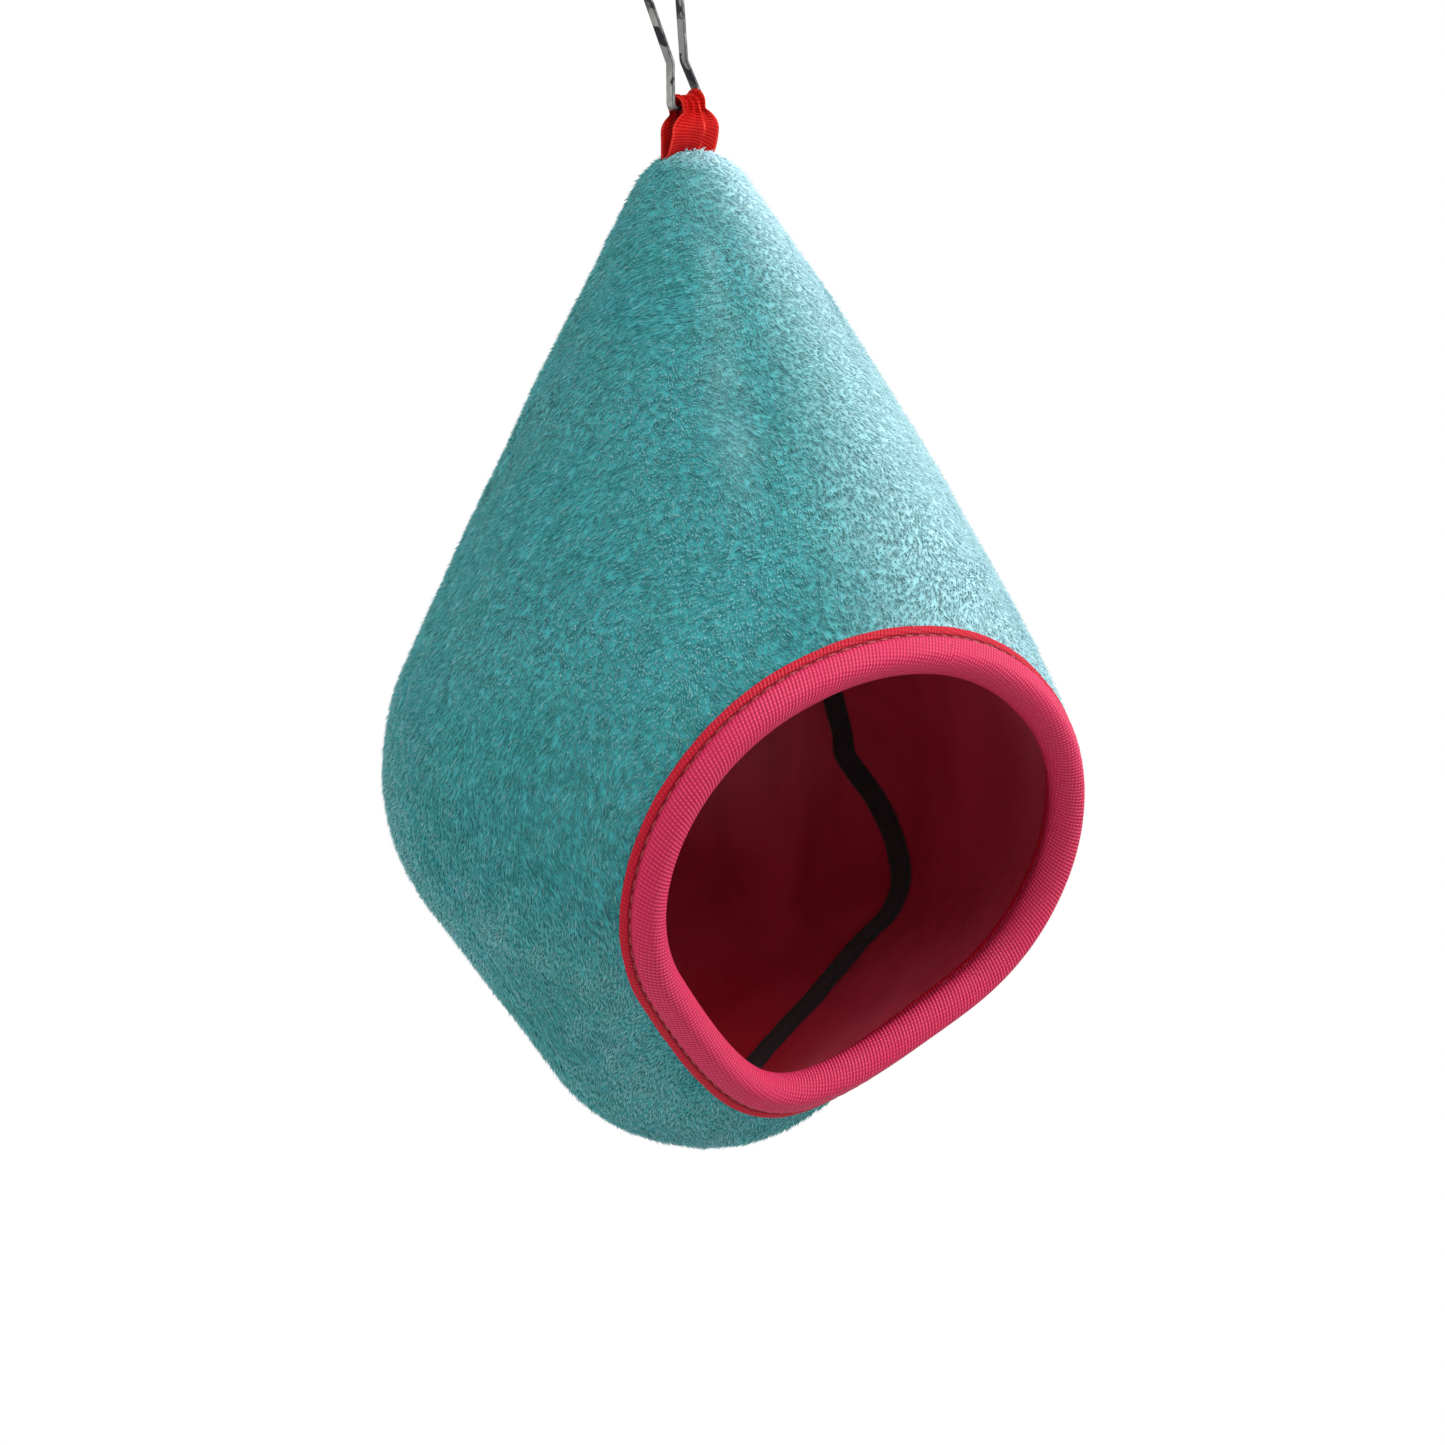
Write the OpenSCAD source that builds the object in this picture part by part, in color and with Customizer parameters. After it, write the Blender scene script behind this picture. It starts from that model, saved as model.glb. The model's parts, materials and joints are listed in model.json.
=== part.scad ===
// Hanging plush nest for a small pet: a padded drop with a bound mouth in front, a ribbon loop at its
// apex, and a clip of bent steel strip that it hangs from and swings on.
// Millimetres. +Z is up and the mouth faces -Y. The origin is where the clip hangs on a bar.

/* [Drop] */
// Height of the drop, from its apex to its lowest point
drop_h = 172; // [166:1:182]
// Radius of the rounded apex
apex_r = 11; // [9:0.5:13]
// Slope of the back wall from vertical, halfway down it
back_slope = 23; // [21:0.5:25]
// How much the back wall's slope falls from its top to its foot
back_bow = 1; // [0.5:0.5:4]
// Radius of the shoulder where the back wall turns in
back_shoulder_r = 39; // [32:1:44]
// Slope of the back below its shoulder, from vertical
back_under = 31; // [28:1:36]
// Slope of the front wall from vertical, halfway down it
front_slope = 31.5; // [29:0.5:34]
// How much the front wall's slope falls from its top to its foot
front_bow = 11; // [6:1:16]
// Radius of the shoulder where the front wall turns in
front_shoulder_r = 42; // [36:1:48]
// Slope of the front below its shoulder, from vertical
front_under = 63; // [58:1:68]
// Radius of the rounded floor
floor_r = 31; // [26:1:36]
// How far the lowest point lies in front of the apex
floor_shift = 3; // [0:0.5:6]

/* [Wall] */
// Thickness of the plush panels, pile and backing
plush_t = 2; // [1.2:0.1:3]
// Thickness of the foam padding
foam_t = 2.8; // [2:0.1:4.5]
// Thickness of the lining
lining_t = 0.8; // [0.5:0.1:1.2]
// Play between one layer of the wall and the next
ply_gap = 0.1; // [0.05:0.05:0.2]
// Angle from the middle of the back round to each side seam
seam_angle = 65; // [55:1:75]
// Angle by which each side seam comes forward round the belly
seam_turn = 19; // [0:1:24]
// Play between the panels at each side seam
seam_gap = 0.15; // [0.05:0.05:0.3]

/* [Mouth] */
// Depth of the top of the mouth below the apex
mouth_top = 91; // [86:1:98]
// Height of the mouth's lip above the lowest point
mouth_lip = 7; // [5:0.5:10]
// Angle by which the mouth's edge turns forward near its top, seen from the side
mouth_turn = 9; // [5:1:16]
// Radius by which the edge turns forward at the top of the mouth
mouth_turn_r = 48; // [40:1:60]

/* [Mouth binding] */
// How far the tape reaches back along the wall from its edge
tape_reach = 4.8; // [4:0.1:6]
// Width of the flat outer edge of the tape, outside its stitch groove
tape_edge_w = 1.5; // [1:0.1:2]
// Thickness of that flat edge
tape_edge_t = 0.5; // [0.3:0.1:0.8]
// Thickness of the padded band between the two stitch grooves
tape_band_t = 1.1; // [0.8:0.1:1.6]
// Thickness left under the stitches in a groove
groove_t = 0.2; // [0.15:0.05:0.3]
// Width of a stitch groove
groove_w = 0.6; // [0.4:0.1:1]
// How far the fold stands in front of the wall's edge, inside the tape
fold_room = 1.4; // [1:0.1:2]
// Play between the tape and the wall
tape_gap = 0.35; // [0.25:0.05:0.5]
// How far the tape presses each face of the wall in at the mouth's edge
rim_pinch = 1.3; // [0.8:0.1:1.6]
// Distance from the edge over which the wall swells to its full thickness again
pinch_w = 12; // [8:1:14]
// Lean of both legs of the tape, which follows the wall's own curve
tape_lean = 3; // [2:0.5:4]
// Spread of each leg, which follows the wall as it swells behind that edge
tape_spread = 9; // [6:0.5:10]

/* [Seam binding] */
// Width of the black tape over each inner seam
seam_tape_w = 4; // [3:0.5:6]
// Thickness of that tape
seam_tape_t = 0.9; // [0.6:0.1:1.2]
// Play between that tape and the lining
seam_tape_gap = 0.3; // [0.2:0.05:0.4]

/* [Ribbon loop] */
// Width of the ribbon where it leaves the plush
ribbon_w = 10.8; // [10:0.2:14]
// Width of the ribbon where it bellies out above the plush
ribbon_belly_w = 11.4; // [11:0.2:15]
// Width of the ribbon gathered over the clip's bar
ribbon_gather_w = 5; // [4.4:0.1:5.2]
// Thickness of the ribbon
ribbon_t = 0.5; // [0.3:0.1:0.7]
// Thickness of the gathered ribbon
gather_t = 0.9; // [0.7:0.1:1.3]
// Height of the clip's bar above the apex
loop_h = 7.8; // [7:0.2:12]
// How far the middle of that bar lies to the left of the apex, seen from the front
loop_shift = 1.4; // [0:0.2:2.4]
// Height of the gather, from where the ribbon is wide to the bar
gather_h = 3.4; // [2.4:0.1:3.8]
// Distance between the two plies at the foot of the loop
foot_gap = 1; // [0.6:0.1:1.6]
// Play between the ribbon and the bar it swings on
swing_gap = 0.35; // [0.3:0.05:0.6]
// Play between the ribbon's foot and the plush
foot_play = 0.15; // [0.1:0.05:0.3]

/* [Clip] */
// Width of the steel strip
strip_w = 1.7; // [1.4:0.1:2.2]
// Thickness of the steel strip
strip_t = 0.7; // [0.5:0.05:0.9]
// Angle by which each leg leans in from the bar to the neck
eye_lean = 15; // [14:1:19]
// Height of the eye, from its bar to the neck
eye_h = 8; // [7:0.2:10]
// Width of the neck, along the middle of the strip
neck_w = 3.3; // [2.6:0.1:4]
// Angle by which each leg leans out above the neck
leg_spread = 10.7; // [9:0.1:13]
// Radius of the upper loop, along the middle of the strip
hook_r = 5.5; // [4.8:0.1:6.5]
// Radius of the bend at each end of the bar
corner_r = 1; // [0.8:0.1:1.2]
// Radius of the bend at the neck
neck_r = 1.6; // [1.2:0.1:2.4]
// Slit between the strip's two ends, hidden inside the ribbon
end_slit = 0.4; // [0.2:0.1:0.8]
// Lean of the clip to its left, seen from the front
clip_lean = 16; // [10:1:20]

/* [Fineness] */
// Rows of facets from the top of the mouth to its lip
mouth_rows = 16; // [12:2:20]
// Columns of facets across the back panel
back_cols = 12; // [8:2:14]
// Columns of facets on each side of the front panel
side_cols = 9; // [7:1:11]

/* [Hidden] */
$fn = 48;

foam_out = plush_t + ply_gap;
foam_in = foam_out + foam_t;
lining_out = foam_in + ply_gap;
wall_t = lining_out + lining_t;

// Clip, in its own plane with the middle of its bar at the origin
eye_w = neck_w + 2 * eye_h * tan(eye_lean);
hook_centre = eye_h + (hook_r - neck_w / 2 * cos(leg_spread)) / sin(leg_spread);
clip_reach = hook_centre + hook_r - strip_t / 2;

// The bar, and under it the apex of the drop
bar_at = [sin(clip_lean), 0, -cos(clip_lean)] * clip_reach;
apex_at = bar_at + [loop_shift, 0, -loop_h];

function unit(v) = v / norm(v);
// Move along an arc of radius r while the heading turns from a to b. A heading is an angle from straight
// down, positive outwards, and places in a side view are [outward, down].
function turn(a, b, r) = r * [cos(b) - cos(a), sin(a) - sin(b)];

// A side outline of the drop: apex arc, bowed wall, shoulder arc, straight under-slope and floor arc.
// The wall's radius and the under-slope's length are what closes it at the lowest point.
// It is returned as its headings, radii, under-slope length and the start of each of the five stretches.
function side_outline(slope, bow, shoulder_r, under, shift) =
    let (
        top = slope + bow / 2,
        low = slope - bow / 2,
        apex = turn(90, top, apex_r),
        wall = turn(top, low, 1),
        shoulder = turn(low, -under, shoulder_r),
        floor_arc = turn(-under, -90, floor_r),
        rest = [shift, drop_h] - apex - shoulder - floor_arc,
        det = wall.x * cos(under) + wall.y * sin(under),
        wall_r = (rest.x * cos(under) + rest.y * sin(under)) / det,
        under_l = (wall.x * rest.y - wall.y * rest.x) / det,
        shoulder_at = apex + wall * wall_r,
        under_at = shoulder_at + shoulder,
        floor_at = under_at + under_l * [-sin(under), cos(under)]
    )
    [[90, top, low, -under, -under, -90], [apex_r, wall_r, shoulder_r, 0, floor_r], under_l,
     [[0, 0], apex, shoulder_at, under_at, floor_at]];

back = side_outline(back_slope, back_bow, back_shoulder_r, back_under, -floor_shift);
front = side_outline(front_slope, front_bow, front_shoulder_r, front_under, floor_shift);

// Point of an outline at station s, from 0 at the apex to 5 at the lowest point, set in by a depth
function outline_point(o, s, inset = 0) =
    let (
        k = min(floor(s), 4),
        a = o[0][k],
        b = a + (o[0][k + 1] - a) * (s - k),
        along = k == 3 ? (s - k) * o[2] * [sin(a), cos(a)] : turn(a, b, o[1][k])
    )
    o[3][k] + along - inset * [cos(b), -sin(b)];

// Station at which an outline reaches a depth below the apex
function station_at(o, down, lo = 0, hi = 5, n = 30) =
    let (mid = (lo + hi) / 2)
    n == 0 ? mid
    : outline_point(o, mid).y < down ? station_at(o, down, mid, hi, n - 1)
    : station_at(o, down, lo, mid, n - 1);

// Each ring of the drop is a circle whose diameter joins the two outlines at one station.
// Side views of it are [y, down].
function ring_back(s, inset) = outline_point(back, s, inset);
function ring_front(s, inset) =
    let (p = outline_point(front, s, inset))
    [-p.x, p.y];
function ring_mid(s, inset) = (ring_back(s, inset) + ring_front(s, inset)) / 2;
function ring_half(s, inset) = (ring_back(s, inset) - ring_front(s, inset)) / 2;

// Point of the wall at a station, an angle from the middle of the back and a depth in the wall
function wall_point(s, angle, inset) =
    let (c = ring_mid(s, inset), h = ring_half(s, inset))
    [norm(h) * sin(angle), c.x + h.x * cos(angle), -(c.y + h.y * cos(angle))];

// Angle from the middle of the back to a side seam. It comes forward between two stations of the shoulder.
turn_start = 2.2;
turn_end = 2.8;
function seam_at(s) =
    let (f = max(0, min(1, (s - turn_start) / (turn_end - turn_start))))
    seam_angle + seam_turn * f * f * (3 - 2 * f);

// The mouth's edge seen from the side: a line up from the lip, then an arc forward to the top
lip_station = station_at(front, drop_h - mouth_lip);
top_station = station_at(front, mouth_top);
lip_at = ring_front(lip_station, 0);
lip_to_top = ring_front(top_station, 0) - lip_at;
mouth_lean = atan2(-lip_to_top.x, -lip_to_top.y)
    - asin(mouth_turn_r * (1 - cos(mouth_turn)) / norm(lip_to_top));
edge_along = [-sin(mouth_lean), -cos(mouth_lean)];
edge_across = [-cos(mouth_lean), sin(mouth_lean)];
turn_at = lip_to_top * edge_along - mouth_turn_r * sin(mouth_turn);
turn_centre = lip_at + turn_at * edge_along + mouth_turn_r * edge_across;

// Angle from the middle of the back at which a ring meets the mouth's edge
function mouth_angle(s) =
    let (
        c = ring_mid(s, 0),
        h = ring_half(s, 0),
        on_line = (lip_at - c) * edge_across / (h * edge_across),
        reach = (c + on_line * h - lip_at) * edge_along,
        b = h * (c - turn_centre),
        q = (c - turn_centre) * (c - turn_centre) - mouth_turn_r * mouth_turn_r,
        on_arc = (-b + sqrt(max(0, b * b - h * h * q))) / (h * h)
    )
    acos(max(-1, min(1, reach > turn_at ? on_arc : on_line)));

// Stations of the rows of facets, from just below the apex to just above the lowest point. The wall is
// pinched between the mouth's top and the row over it.
pinch_row = 0.08;
rows = concat(
    [0.5, 1],
    [(1 + top_station) / 2, top_station - pinch_row],
    [for (i = [0:mouth_rows])
        top_station + (lip_station - top_station) * (1 - cos(180 * i / mouth_rows)) / 2],
    [(lip_station + 5) / 2]
);
last_row = len(rows) - 1;
top_row = 4;
lip_row = top_row + mouth_rows;
mid_row = top_row + mouth_rows / 2;

// Angle of column j of the front panel on one side, between the seam and the mouth or the middle
function side_angle(i, j) =
    let (end = i > top_row && i < lip_row ? mouth_angle(rows[i]) : 180, from = seam_at(rows[i]) + seam_gap)
    from + (end - from) * j / side_cols;

// Two triangles across a quad, given clockwise seen from outside
function quad(a, b, c, d) = [[a, b, c], [a, c, d]];
function flat(list) = [for (part = list) each part];

// The back panel of one layer of the wall, from seam to seam
module back_panel(out, in) {
    n = back_cols + 1;
    layer = (last_row + 1) * n + 2;
    function span(i) = 2 * (seam_at(rows[i]) - seam_gap);
    function at(l, i, j) = l * layer + i * n + j;
    function apex(l) = (l + 1) * layer - 2;
    function base(l) = (l + 1) * layer - 1;
    points = flat([for (inset = [out, in]) concat(
        [for (i = [0:last_row], j = [0:back_cols])
            wall_point(rows[i], span(i) * (0.5 - j / back_cols), inset)],
        [wall_point(0, 0, inset), wall_point(5, 0, inset)]
    )]);
    skins = flat([for (i = [0:last_row - 1], j = [0:back_cols - 1]) concat(
        quad(at(0, i, j), at(0, i, j + 1), at(0, i + 1, j + 1), at(0, i + 1, j)),
        quad(at(1, i, j), at(1, i + 1, j), at(1, i + 1, j + 1), at(1, i, j + 1))
    )]);
    tips = flat([for (j = [0:back_cols - 1]) [
        [apex(0), at(0, 0, j + 1), at(0, 0, j)],
        [apex(1), at(1, 0, j), at(1, 0, j + 1)],
        [base(0), at(0, last_row, j), at(0, last_row, j + 1)],
        [base(1), at(1, last_row, j + 1), at(1, last_row, j)]
    ]]);
    seams = flat([for (i = [0:last_row - 1]) concat(
        quad(at(1, i, 0), at(0, i, 0), at(0, i + 1, 0), at(1, i + 1, 0)),
        quad(at(0, i, back_cols), at(1, i, back_cols), at(1, i + 1, back_cols), at(0, i + 1, back_cols))
    )]);
    ends = concat(
        quad(apex(1), apex(0), at(0, 0, 0), at(1, 0, 0)),
        quad(apex(0), apex(1), at(1, 0, back_cols), at(0, 0, back_cols)),
        quad(at(1, last_row, 0), at(0, last_row, 0), base(0), base(1)),
        quad(at(0, last_row, back_cols), at(1, last_row, back_cols), base(1), base(0))
    );
    translate(apex_at) polyhedron(points, concat(skins, tips, seams, ends), convexity = 6);
}

// The front panel of one layer of the wall, with the mouth cut in it
module front_panel(out, in) {
    n = side_cols + 1;
    layer = (last_row + 1) * 2 * n + 2;
    // Above and below the mouth the two sides share the points of the middle column
    function shared(i, j) = j == side_cols && (i <= top_row || i >= lip_row);
    function at(l, i, right, j) = l * layer + (2 * i + (right == 1 && !shared(i, j) ? 1 : 0)) * n + j;
    function apex(l) = (l + 1) * layer - 2;
    function base(l) = (l + 1) * layer - 1;
    // A quad of the left side, or its mirror image on the right
    function facing(right, a, b, c, d) = right == 1 ? quad(c, b, a, d) : quad(a, b, c, d);
    // Below the middle of the mouth the columns spread again, so the quads are cut the other way
    function skin(right, i, a, b, c, d) = i < mid_row ? facing(right, a, b, c, d) : facing(right, b, c, d, a);
    points = flat([for (inset = [out, in]) concat(
        [for (i = [0:last_row], turned = [-1, 1], j = [0:side_cols])
            pinched_point(rows[i], turned * side_angle(i, j), inset)],
        [wall_point(0, 0, inset), wall_point(5, 0, inset)]
    )]);
    skins = flat([for (i = [0:last_row - 1], right = [0, 1], j = [0:side_cols - 1])
        let (k = i + 1, m = j + 1)
        concat(
            skin(right, i, at(0, i, right, j), at(0, i, right, m), at(0, k, right, m), at(0, k, right, j)),
            skin(right, i, at(1, k, right, m), at(1, i, right, m), at(1, i, right, j), at(1, k, right, j))
        )]);
    tips = flat([for (right = [0, 1], j = [0:side_cols - 1], l = [0, 1])
        let (
            a = (right + l) % 2 == 0 ? j : j + 1,
            b = (right + l) % 2 == 0 ? j + 1 : j
        )
        [[apex(l), at(l, 0, right, b), at(l, 0, right, a)],
         [base(l), at(l, last_row, right, a), at(l, last_row, right, b)]]
    ]);
    seams = flat([for (i = [0:last_row - 1], right = [0, 1])
        facing(right, at(1, i, right, 0), at(0, i, right, 0), at(0, i + 1, right, 0), at(1, i + 1, right, 0))
    ]);
    mouth = flat([for (i = [top_row:lip_row - 1], right = [0, 1])
        facing(right, at(0, i, right, side_cols), at(1, i, right, side_cols),
            at(1, i + 1, right, side_cols), at(0, i + 1, right, side_cols))
    ]);
    ends = flat([for (right = [0, 1]) concat(
        facing(right, apex(1), apex(0), at(0, 0, right, 0), at(1, 0, right, 0)),
        facing(right, at(1, last_row, right, 0), at(0, last_row, right, 0), base(0), base(1))
    )]);
    translate(apex_at) polyhedron(points, concat(skins, tips, seams, mouth, ends), convexity = 8);
}

// Faces of a tube through rings of n points each. It joins end to start, or each end gets a cap of
// strips between its two halves.
function tube_faces(count, n, closed) = concat(
    flat([for (i = [0:count - (closed ? 1 : 2)], j = [0:n - 1])
        let (a = i * n, b = (i + 1) % count * n, k = (j + 1) % n)
        quad(a + j, a + k, b + k, b + j)]),
    closed ? [] : flat([for (j = [0:n / 2 - 2])
        let (e = (count - 1) * n, k = n - 1 - j)
        concat(quad(k, k - 1, j + 1, j), quad(e + j, e + j + 1, e + k - 1, e + k))])
);

// The rim of the mouth: [station, angle] from the top down the left side and up the right
rim = concat(
    [for (i = [top_row:lip_row]) [rows[i], -side_angle(i, side_cols)]],
    [for (i = [lip_row - 1:-1:top_row + 1]) [rows[i], side_angle(i, side_cols)]]
);

rim_line = [for (r = rim) wall_point(r.x, r.y, 0)];
function to_segment(p, a, b) =
    let (share = (p - a) * (b - a) / ((b - a) * (b - a)))
    norm(p - a - max(0, min(1, share)) * (b - a));
function rim_distance(p) =
    min([for (i = [0:len(rim) - 1]) to_segment(p, rim_line[i], rim_line[(i + 1) % len(rim)])]);

// Point of the wall near the mouth, where the tape presses the layers together
function pinched_point(s, angle, inset) =
    let (share = max(0, 1 - rim_distance(wall_point(s, angle, 0)) / pinch_w))
    wall_point(s, angle, inset + rim_pinch * share * (1 - 2 * inset / wall_t));

// Half of the tape's section round the wall's edge: [out in front of the edge, out from mid-wall]
tape_in = wall_t / 2 - rim_pinch + tape_gap;
fold_out = fold_room + tape_band_t;
groove_at = tape_edge_w - tape_reach;
function leant(p) = [p.x, p.y + min(0, p.x) * (tan(tape_lean) - sign(p.y) * tan(tape_spread))];
function tape_half(side) = [for (p = [
    [-tape_reach, tape_in],
    [-tape_reach, tape_in + tape_edge_t],
    [groove_at, tape_in + tape_edge_t],
    [groove_at + groove_w / 2, tape_in + groove_t],
    [groove_at + groove_w, tape_in + tape_band_t * 0.8],
    [groove_at + 2 * groove_w, tape_in + tape_band_t],
    [0, tape_in + tape_band_t]
]) leant([p.x, side * p.y])];
tape_section = concat(
    tape_half(1),
    [for (a = [60:-30:-60]) [fold_out * cos(a), (tape_in + tape_band_t) * sin(a)]],
    [for (i = [6:-1:0]) tape_half(-1)[i]],
    [[0, -tape_in]],
    [for (a = [-50:50:50]) [fold_room * cos(a), tape_in * sin(a)]],
    [[0, tape_in]]
);

module mouth_binding() {
    count = len(rim);
    outer = [for (r = rim) wall_point(r.x, r.y, 0)];
    inner = [for (r = rim) wall_point(r.x, r.y, wall_t)];
    mid = (outer + inner) / 2;
    points = flat([for (i = [0:count - 1])
        let (
            along = unit(mid[(i + 1) % count] - mid[(i + count - 1) % count]),
            ahead = unit(cross(outer[i] - inner[i], along)),
            out = cross(along, ahead)
        )
        [for (p = tape_section) mid[i] + p.x * ahead + p.y * out]]);
    color("deeppink")
        translate(apex_at)
            polyhedron(points, tube_faces(count, len(tape_section), true), convexity = 8);
}

// Black tape over the right inner seam. It starts below the apex, ends above the lowest point, and its
// two long edges are rolled in. The left one is its mirror image.
module seam_binding(left) {
    path = [for (i = [1:last_row]) rows[i]];
    inset = wall_t + seam_tape_gap;
    roll = seam_tape_t / 2;
    half = seam_tape_w / 2;
    section = [[-half, roll], [-half + roll, 0], [half - roll, 0], [half, roll],
               [half - roll, seam_tape_t], [-half + roll, seam_tape_t]];
    laid = [for (s = path) wall_point(s, seam_at(s), inset)];
    count = len(path);
    points = flat([for (i = [0:count - 1])
        let (
            along = unit(laid[min(i + 1, count - 1)] - laid[max(i - 1, 0)]),
            depth = wall_point(path[i], seam_at(path[i]), inset + 1) - laid[i],
            across = unit(cross(along, depth))
        )
        [for (p = section) laid[i] + p.x * across + p.y * unit(depth)]]);
    color("#141214")
        translate(apex_at)
            mirror([left, 0, 0])
                polyhedron(points, tube_faces(count, len(section), false), convexity = 4);
}

// Ribbon: up from the plush, over the bar and down behind, gathered where it passes the clip's legs.
// A station is [y, height above the bar, width, thickness, share of the clip's lean], and five points
// lie across it.
across = [-0.5, -0.25, 0, 0.25, 0.5];
over_r = norm([strip_w, strip_t]) / 2 + swing_gap;
function ply(side) = concat(
    [for (f = [0:1 / 3:1]) [
        side * (foot_gap / 2 + (over_r - foot_gap / 2) * f),
        -loop_h + (loop_h - gather_h) * f,
        ribbon_w + (ribbon_belly_w - ribbon_w) * sin(120 * f),
        ribbon_t,
        0.8 * f
    ]],
    [[side * over_r, -gather_h / 2, ribbon_gather_w, gather_t, 1]]
);
ribbon_path = concat(
    ply(-1),
    [for (a = [180:-45:0]) [over_r * cos(a), over_r * sin(a), ribbon_gather_w, gather_t, 1]],
    [for (i = [4:-1:0]) ply(1)[i]]
);

module ribbon_loop() {
    count = len(ribbon_path);
    // Height of the foot, which follows the rounded apex under it
    function foot_z(x, y) =
        sqrt(apex_r * apex_r - pow(x - loop_shift, 2) - y * y) - apex_r + foot_play - loop_h;
    function place(p, i, x, y, z) =
        i == 0 || i == count - 1 ? [x, y, foot_z(x, y)]
        : [x * cos(clip_lean * p[4]) - z * sin(clip_lean * p[4]), y,
           x * sin(clip_lean * p[4]) + z * cos(clip_lean * p[4])];
    points = flat([for (i = [0:count - 1])
        let (
            p = ribbon_path[i],
            before = ribbon_path[max(i - 1, 0)],
            after = ribbon_path[min(i + 1, count - 1)],
            along = unit([after[0] - before[0], after[1] - before[1]]),
            out = [-along.y, along.x] * p[3]
        )
        concat(
            [for (a = across) place(p, i, a * p[2], p[0], p[1])],
            [for (a = across) place(p, i, -a * p[2], p[0] + out.x, p[1] + out.y)]
        )]);
    color("crimson")
        translate(bar_at)
            polyhedron(points, tube_faces(count, 2 * len(across), false), convexity = 6);
}

// A bend of the strip in n steps. A step is [turn, radius], or [0, length] for a straight one.
function bend(angle, r, n) = [for (i = [1:n]) [angle / n, r]];

// Middle line of the strip along its steps, as [across, up, heading from +X]
function strip_line(steps, at, heading = 0, i = 0) =
    i == len(steps) ? [[at.x, at.y, heading]]
    : let (
        turned = steps[i][0],
        next = heading + turned,
        move = turned == 0 ? [cos(heading), sin(heading)]
            : sign(turned) * [sin(next) - sin(heading), cos(heading) - cos(next)]
    )
    concat([[at.x, at.y, heading]], strip_line(steps, at + steps[i][1] * move, next, i + 1));

module hanging_clip() {
    corner = 90 + eye_lean;
    corner_l = corner_r * tan(corner / 2);
    neck = eye_lean + leg_spread;
    neck_l = neck_r * tan(neck / 2);
    bar_l = eye_w / 2 - corner_l - end_slit / 2;
    lower_l = eye_h / cos(eye_lean) - corner_l - neck_l;
    upper_l = (hook_centre - eye_h) * cos(leg_spread) - neck_w / 2 * sin(leg_spread) - neck_l;
    steps = concat(
        [[0, bar_l]], bend(corner, corner_r, 6), [[0, lower_l]],
        bend(-neck, neck_r, 3), [[0, upper_l]], bend(90 + leg_spread, hook_r, 12)
    );
    right = strip_line(steps, [end_slit / 2, 0]);
    left = [for (i = [len(right) - 2:-1:0]) [-right[i].x, right[i].y, -right[i].z]];
    line = concat(right, left);
    last = len(line) - 1;
    function beside(p, side) = [p.x + side * sin(p.z), p.y - side * cos(p.z)];
    outline = concat(
        [for (p = line) beside(p, strip_t / 2)],
        [for (i = [last:-1:0]) beside(line[i], -strip_t / 2)]
    );
    color("silver")
        translate(bar_at)
            rotate([0, -clip_lean, 0])
                rotate([90, 0, 0])
                    linear_extrude(height = strip_w, center = true)
                        polygon(outline);
}

module plush_front() color("mediumturquoise") front_panel(0, plush_t);
module plush_back() color("mediumturquoise") back_panel(0, plush_t);
module padding_front() color("ivory") front_panel(foam_out, foam_in);
module padding_back() color("ivory") back_panel(foam_out, foam_in);
module lining_front() color("maroon") front_panel(lining_out, wall_t);
module lining_back() color("maroon") back_panel(lining_out, wall_t);

plush_front();
plush_back();
padding_front();
padding_back();
lining_front();
lining_back();
seam_binding(0);  // seam_binding_right
seam_binding(1);  // seam_binding_left
mouth_binding();
ribbon_loop();
hanging_clip();
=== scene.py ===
"""Looks of the hanging nest: pile, tapes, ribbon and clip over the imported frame.
Places are worked out in millimetres, in the row frame, and become metres where a mesh is made."""

import json
import math

import bpy
import numpy as np
from mathutils import Matrix, Vector, noise

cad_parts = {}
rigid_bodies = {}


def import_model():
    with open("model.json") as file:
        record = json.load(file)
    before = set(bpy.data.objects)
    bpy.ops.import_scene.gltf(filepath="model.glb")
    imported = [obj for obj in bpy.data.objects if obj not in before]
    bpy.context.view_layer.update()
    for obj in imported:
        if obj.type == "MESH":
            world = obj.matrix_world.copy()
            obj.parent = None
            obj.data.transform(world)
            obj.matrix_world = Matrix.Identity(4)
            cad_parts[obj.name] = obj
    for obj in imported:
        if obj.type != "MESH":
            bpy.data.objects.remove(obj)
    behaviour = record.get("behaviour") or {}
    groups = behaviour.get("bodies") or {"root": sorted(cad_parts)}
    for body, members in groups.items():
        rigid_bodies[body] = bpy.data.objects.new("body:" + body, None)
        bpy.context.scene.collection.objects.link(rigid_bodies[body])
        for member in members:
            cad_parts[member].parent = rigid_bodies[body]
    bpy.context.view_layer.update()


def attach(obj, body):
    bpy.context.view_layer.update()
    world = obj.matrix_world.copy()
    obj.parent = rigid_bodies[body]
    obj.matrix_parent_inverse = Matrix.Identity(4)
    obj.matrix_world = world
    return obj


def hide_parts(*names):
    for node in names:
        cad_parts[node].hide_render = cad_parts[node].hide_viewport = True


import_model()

MM = 0.001

# Drop
DROP_H = 172.0
APEX_R = 11.0
FLOOR_R = 31.0
FLOOR_SHIFT = 3.0
SEAM_ANGLE = 65.0
# Three degrees more than the solids' seam turns
SEAM_TURN = 22.0
SEAM_TURNS = (2.2, 3.0)
SEAM_GAP = 0.15
SEAM_DENT, SEAM_DENT_W = 0.7, 1.6

# Tufts for each square metre
FRONT_TUFTS, BACK_TUFTS = 3.6e6, 2.75e6

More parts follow.
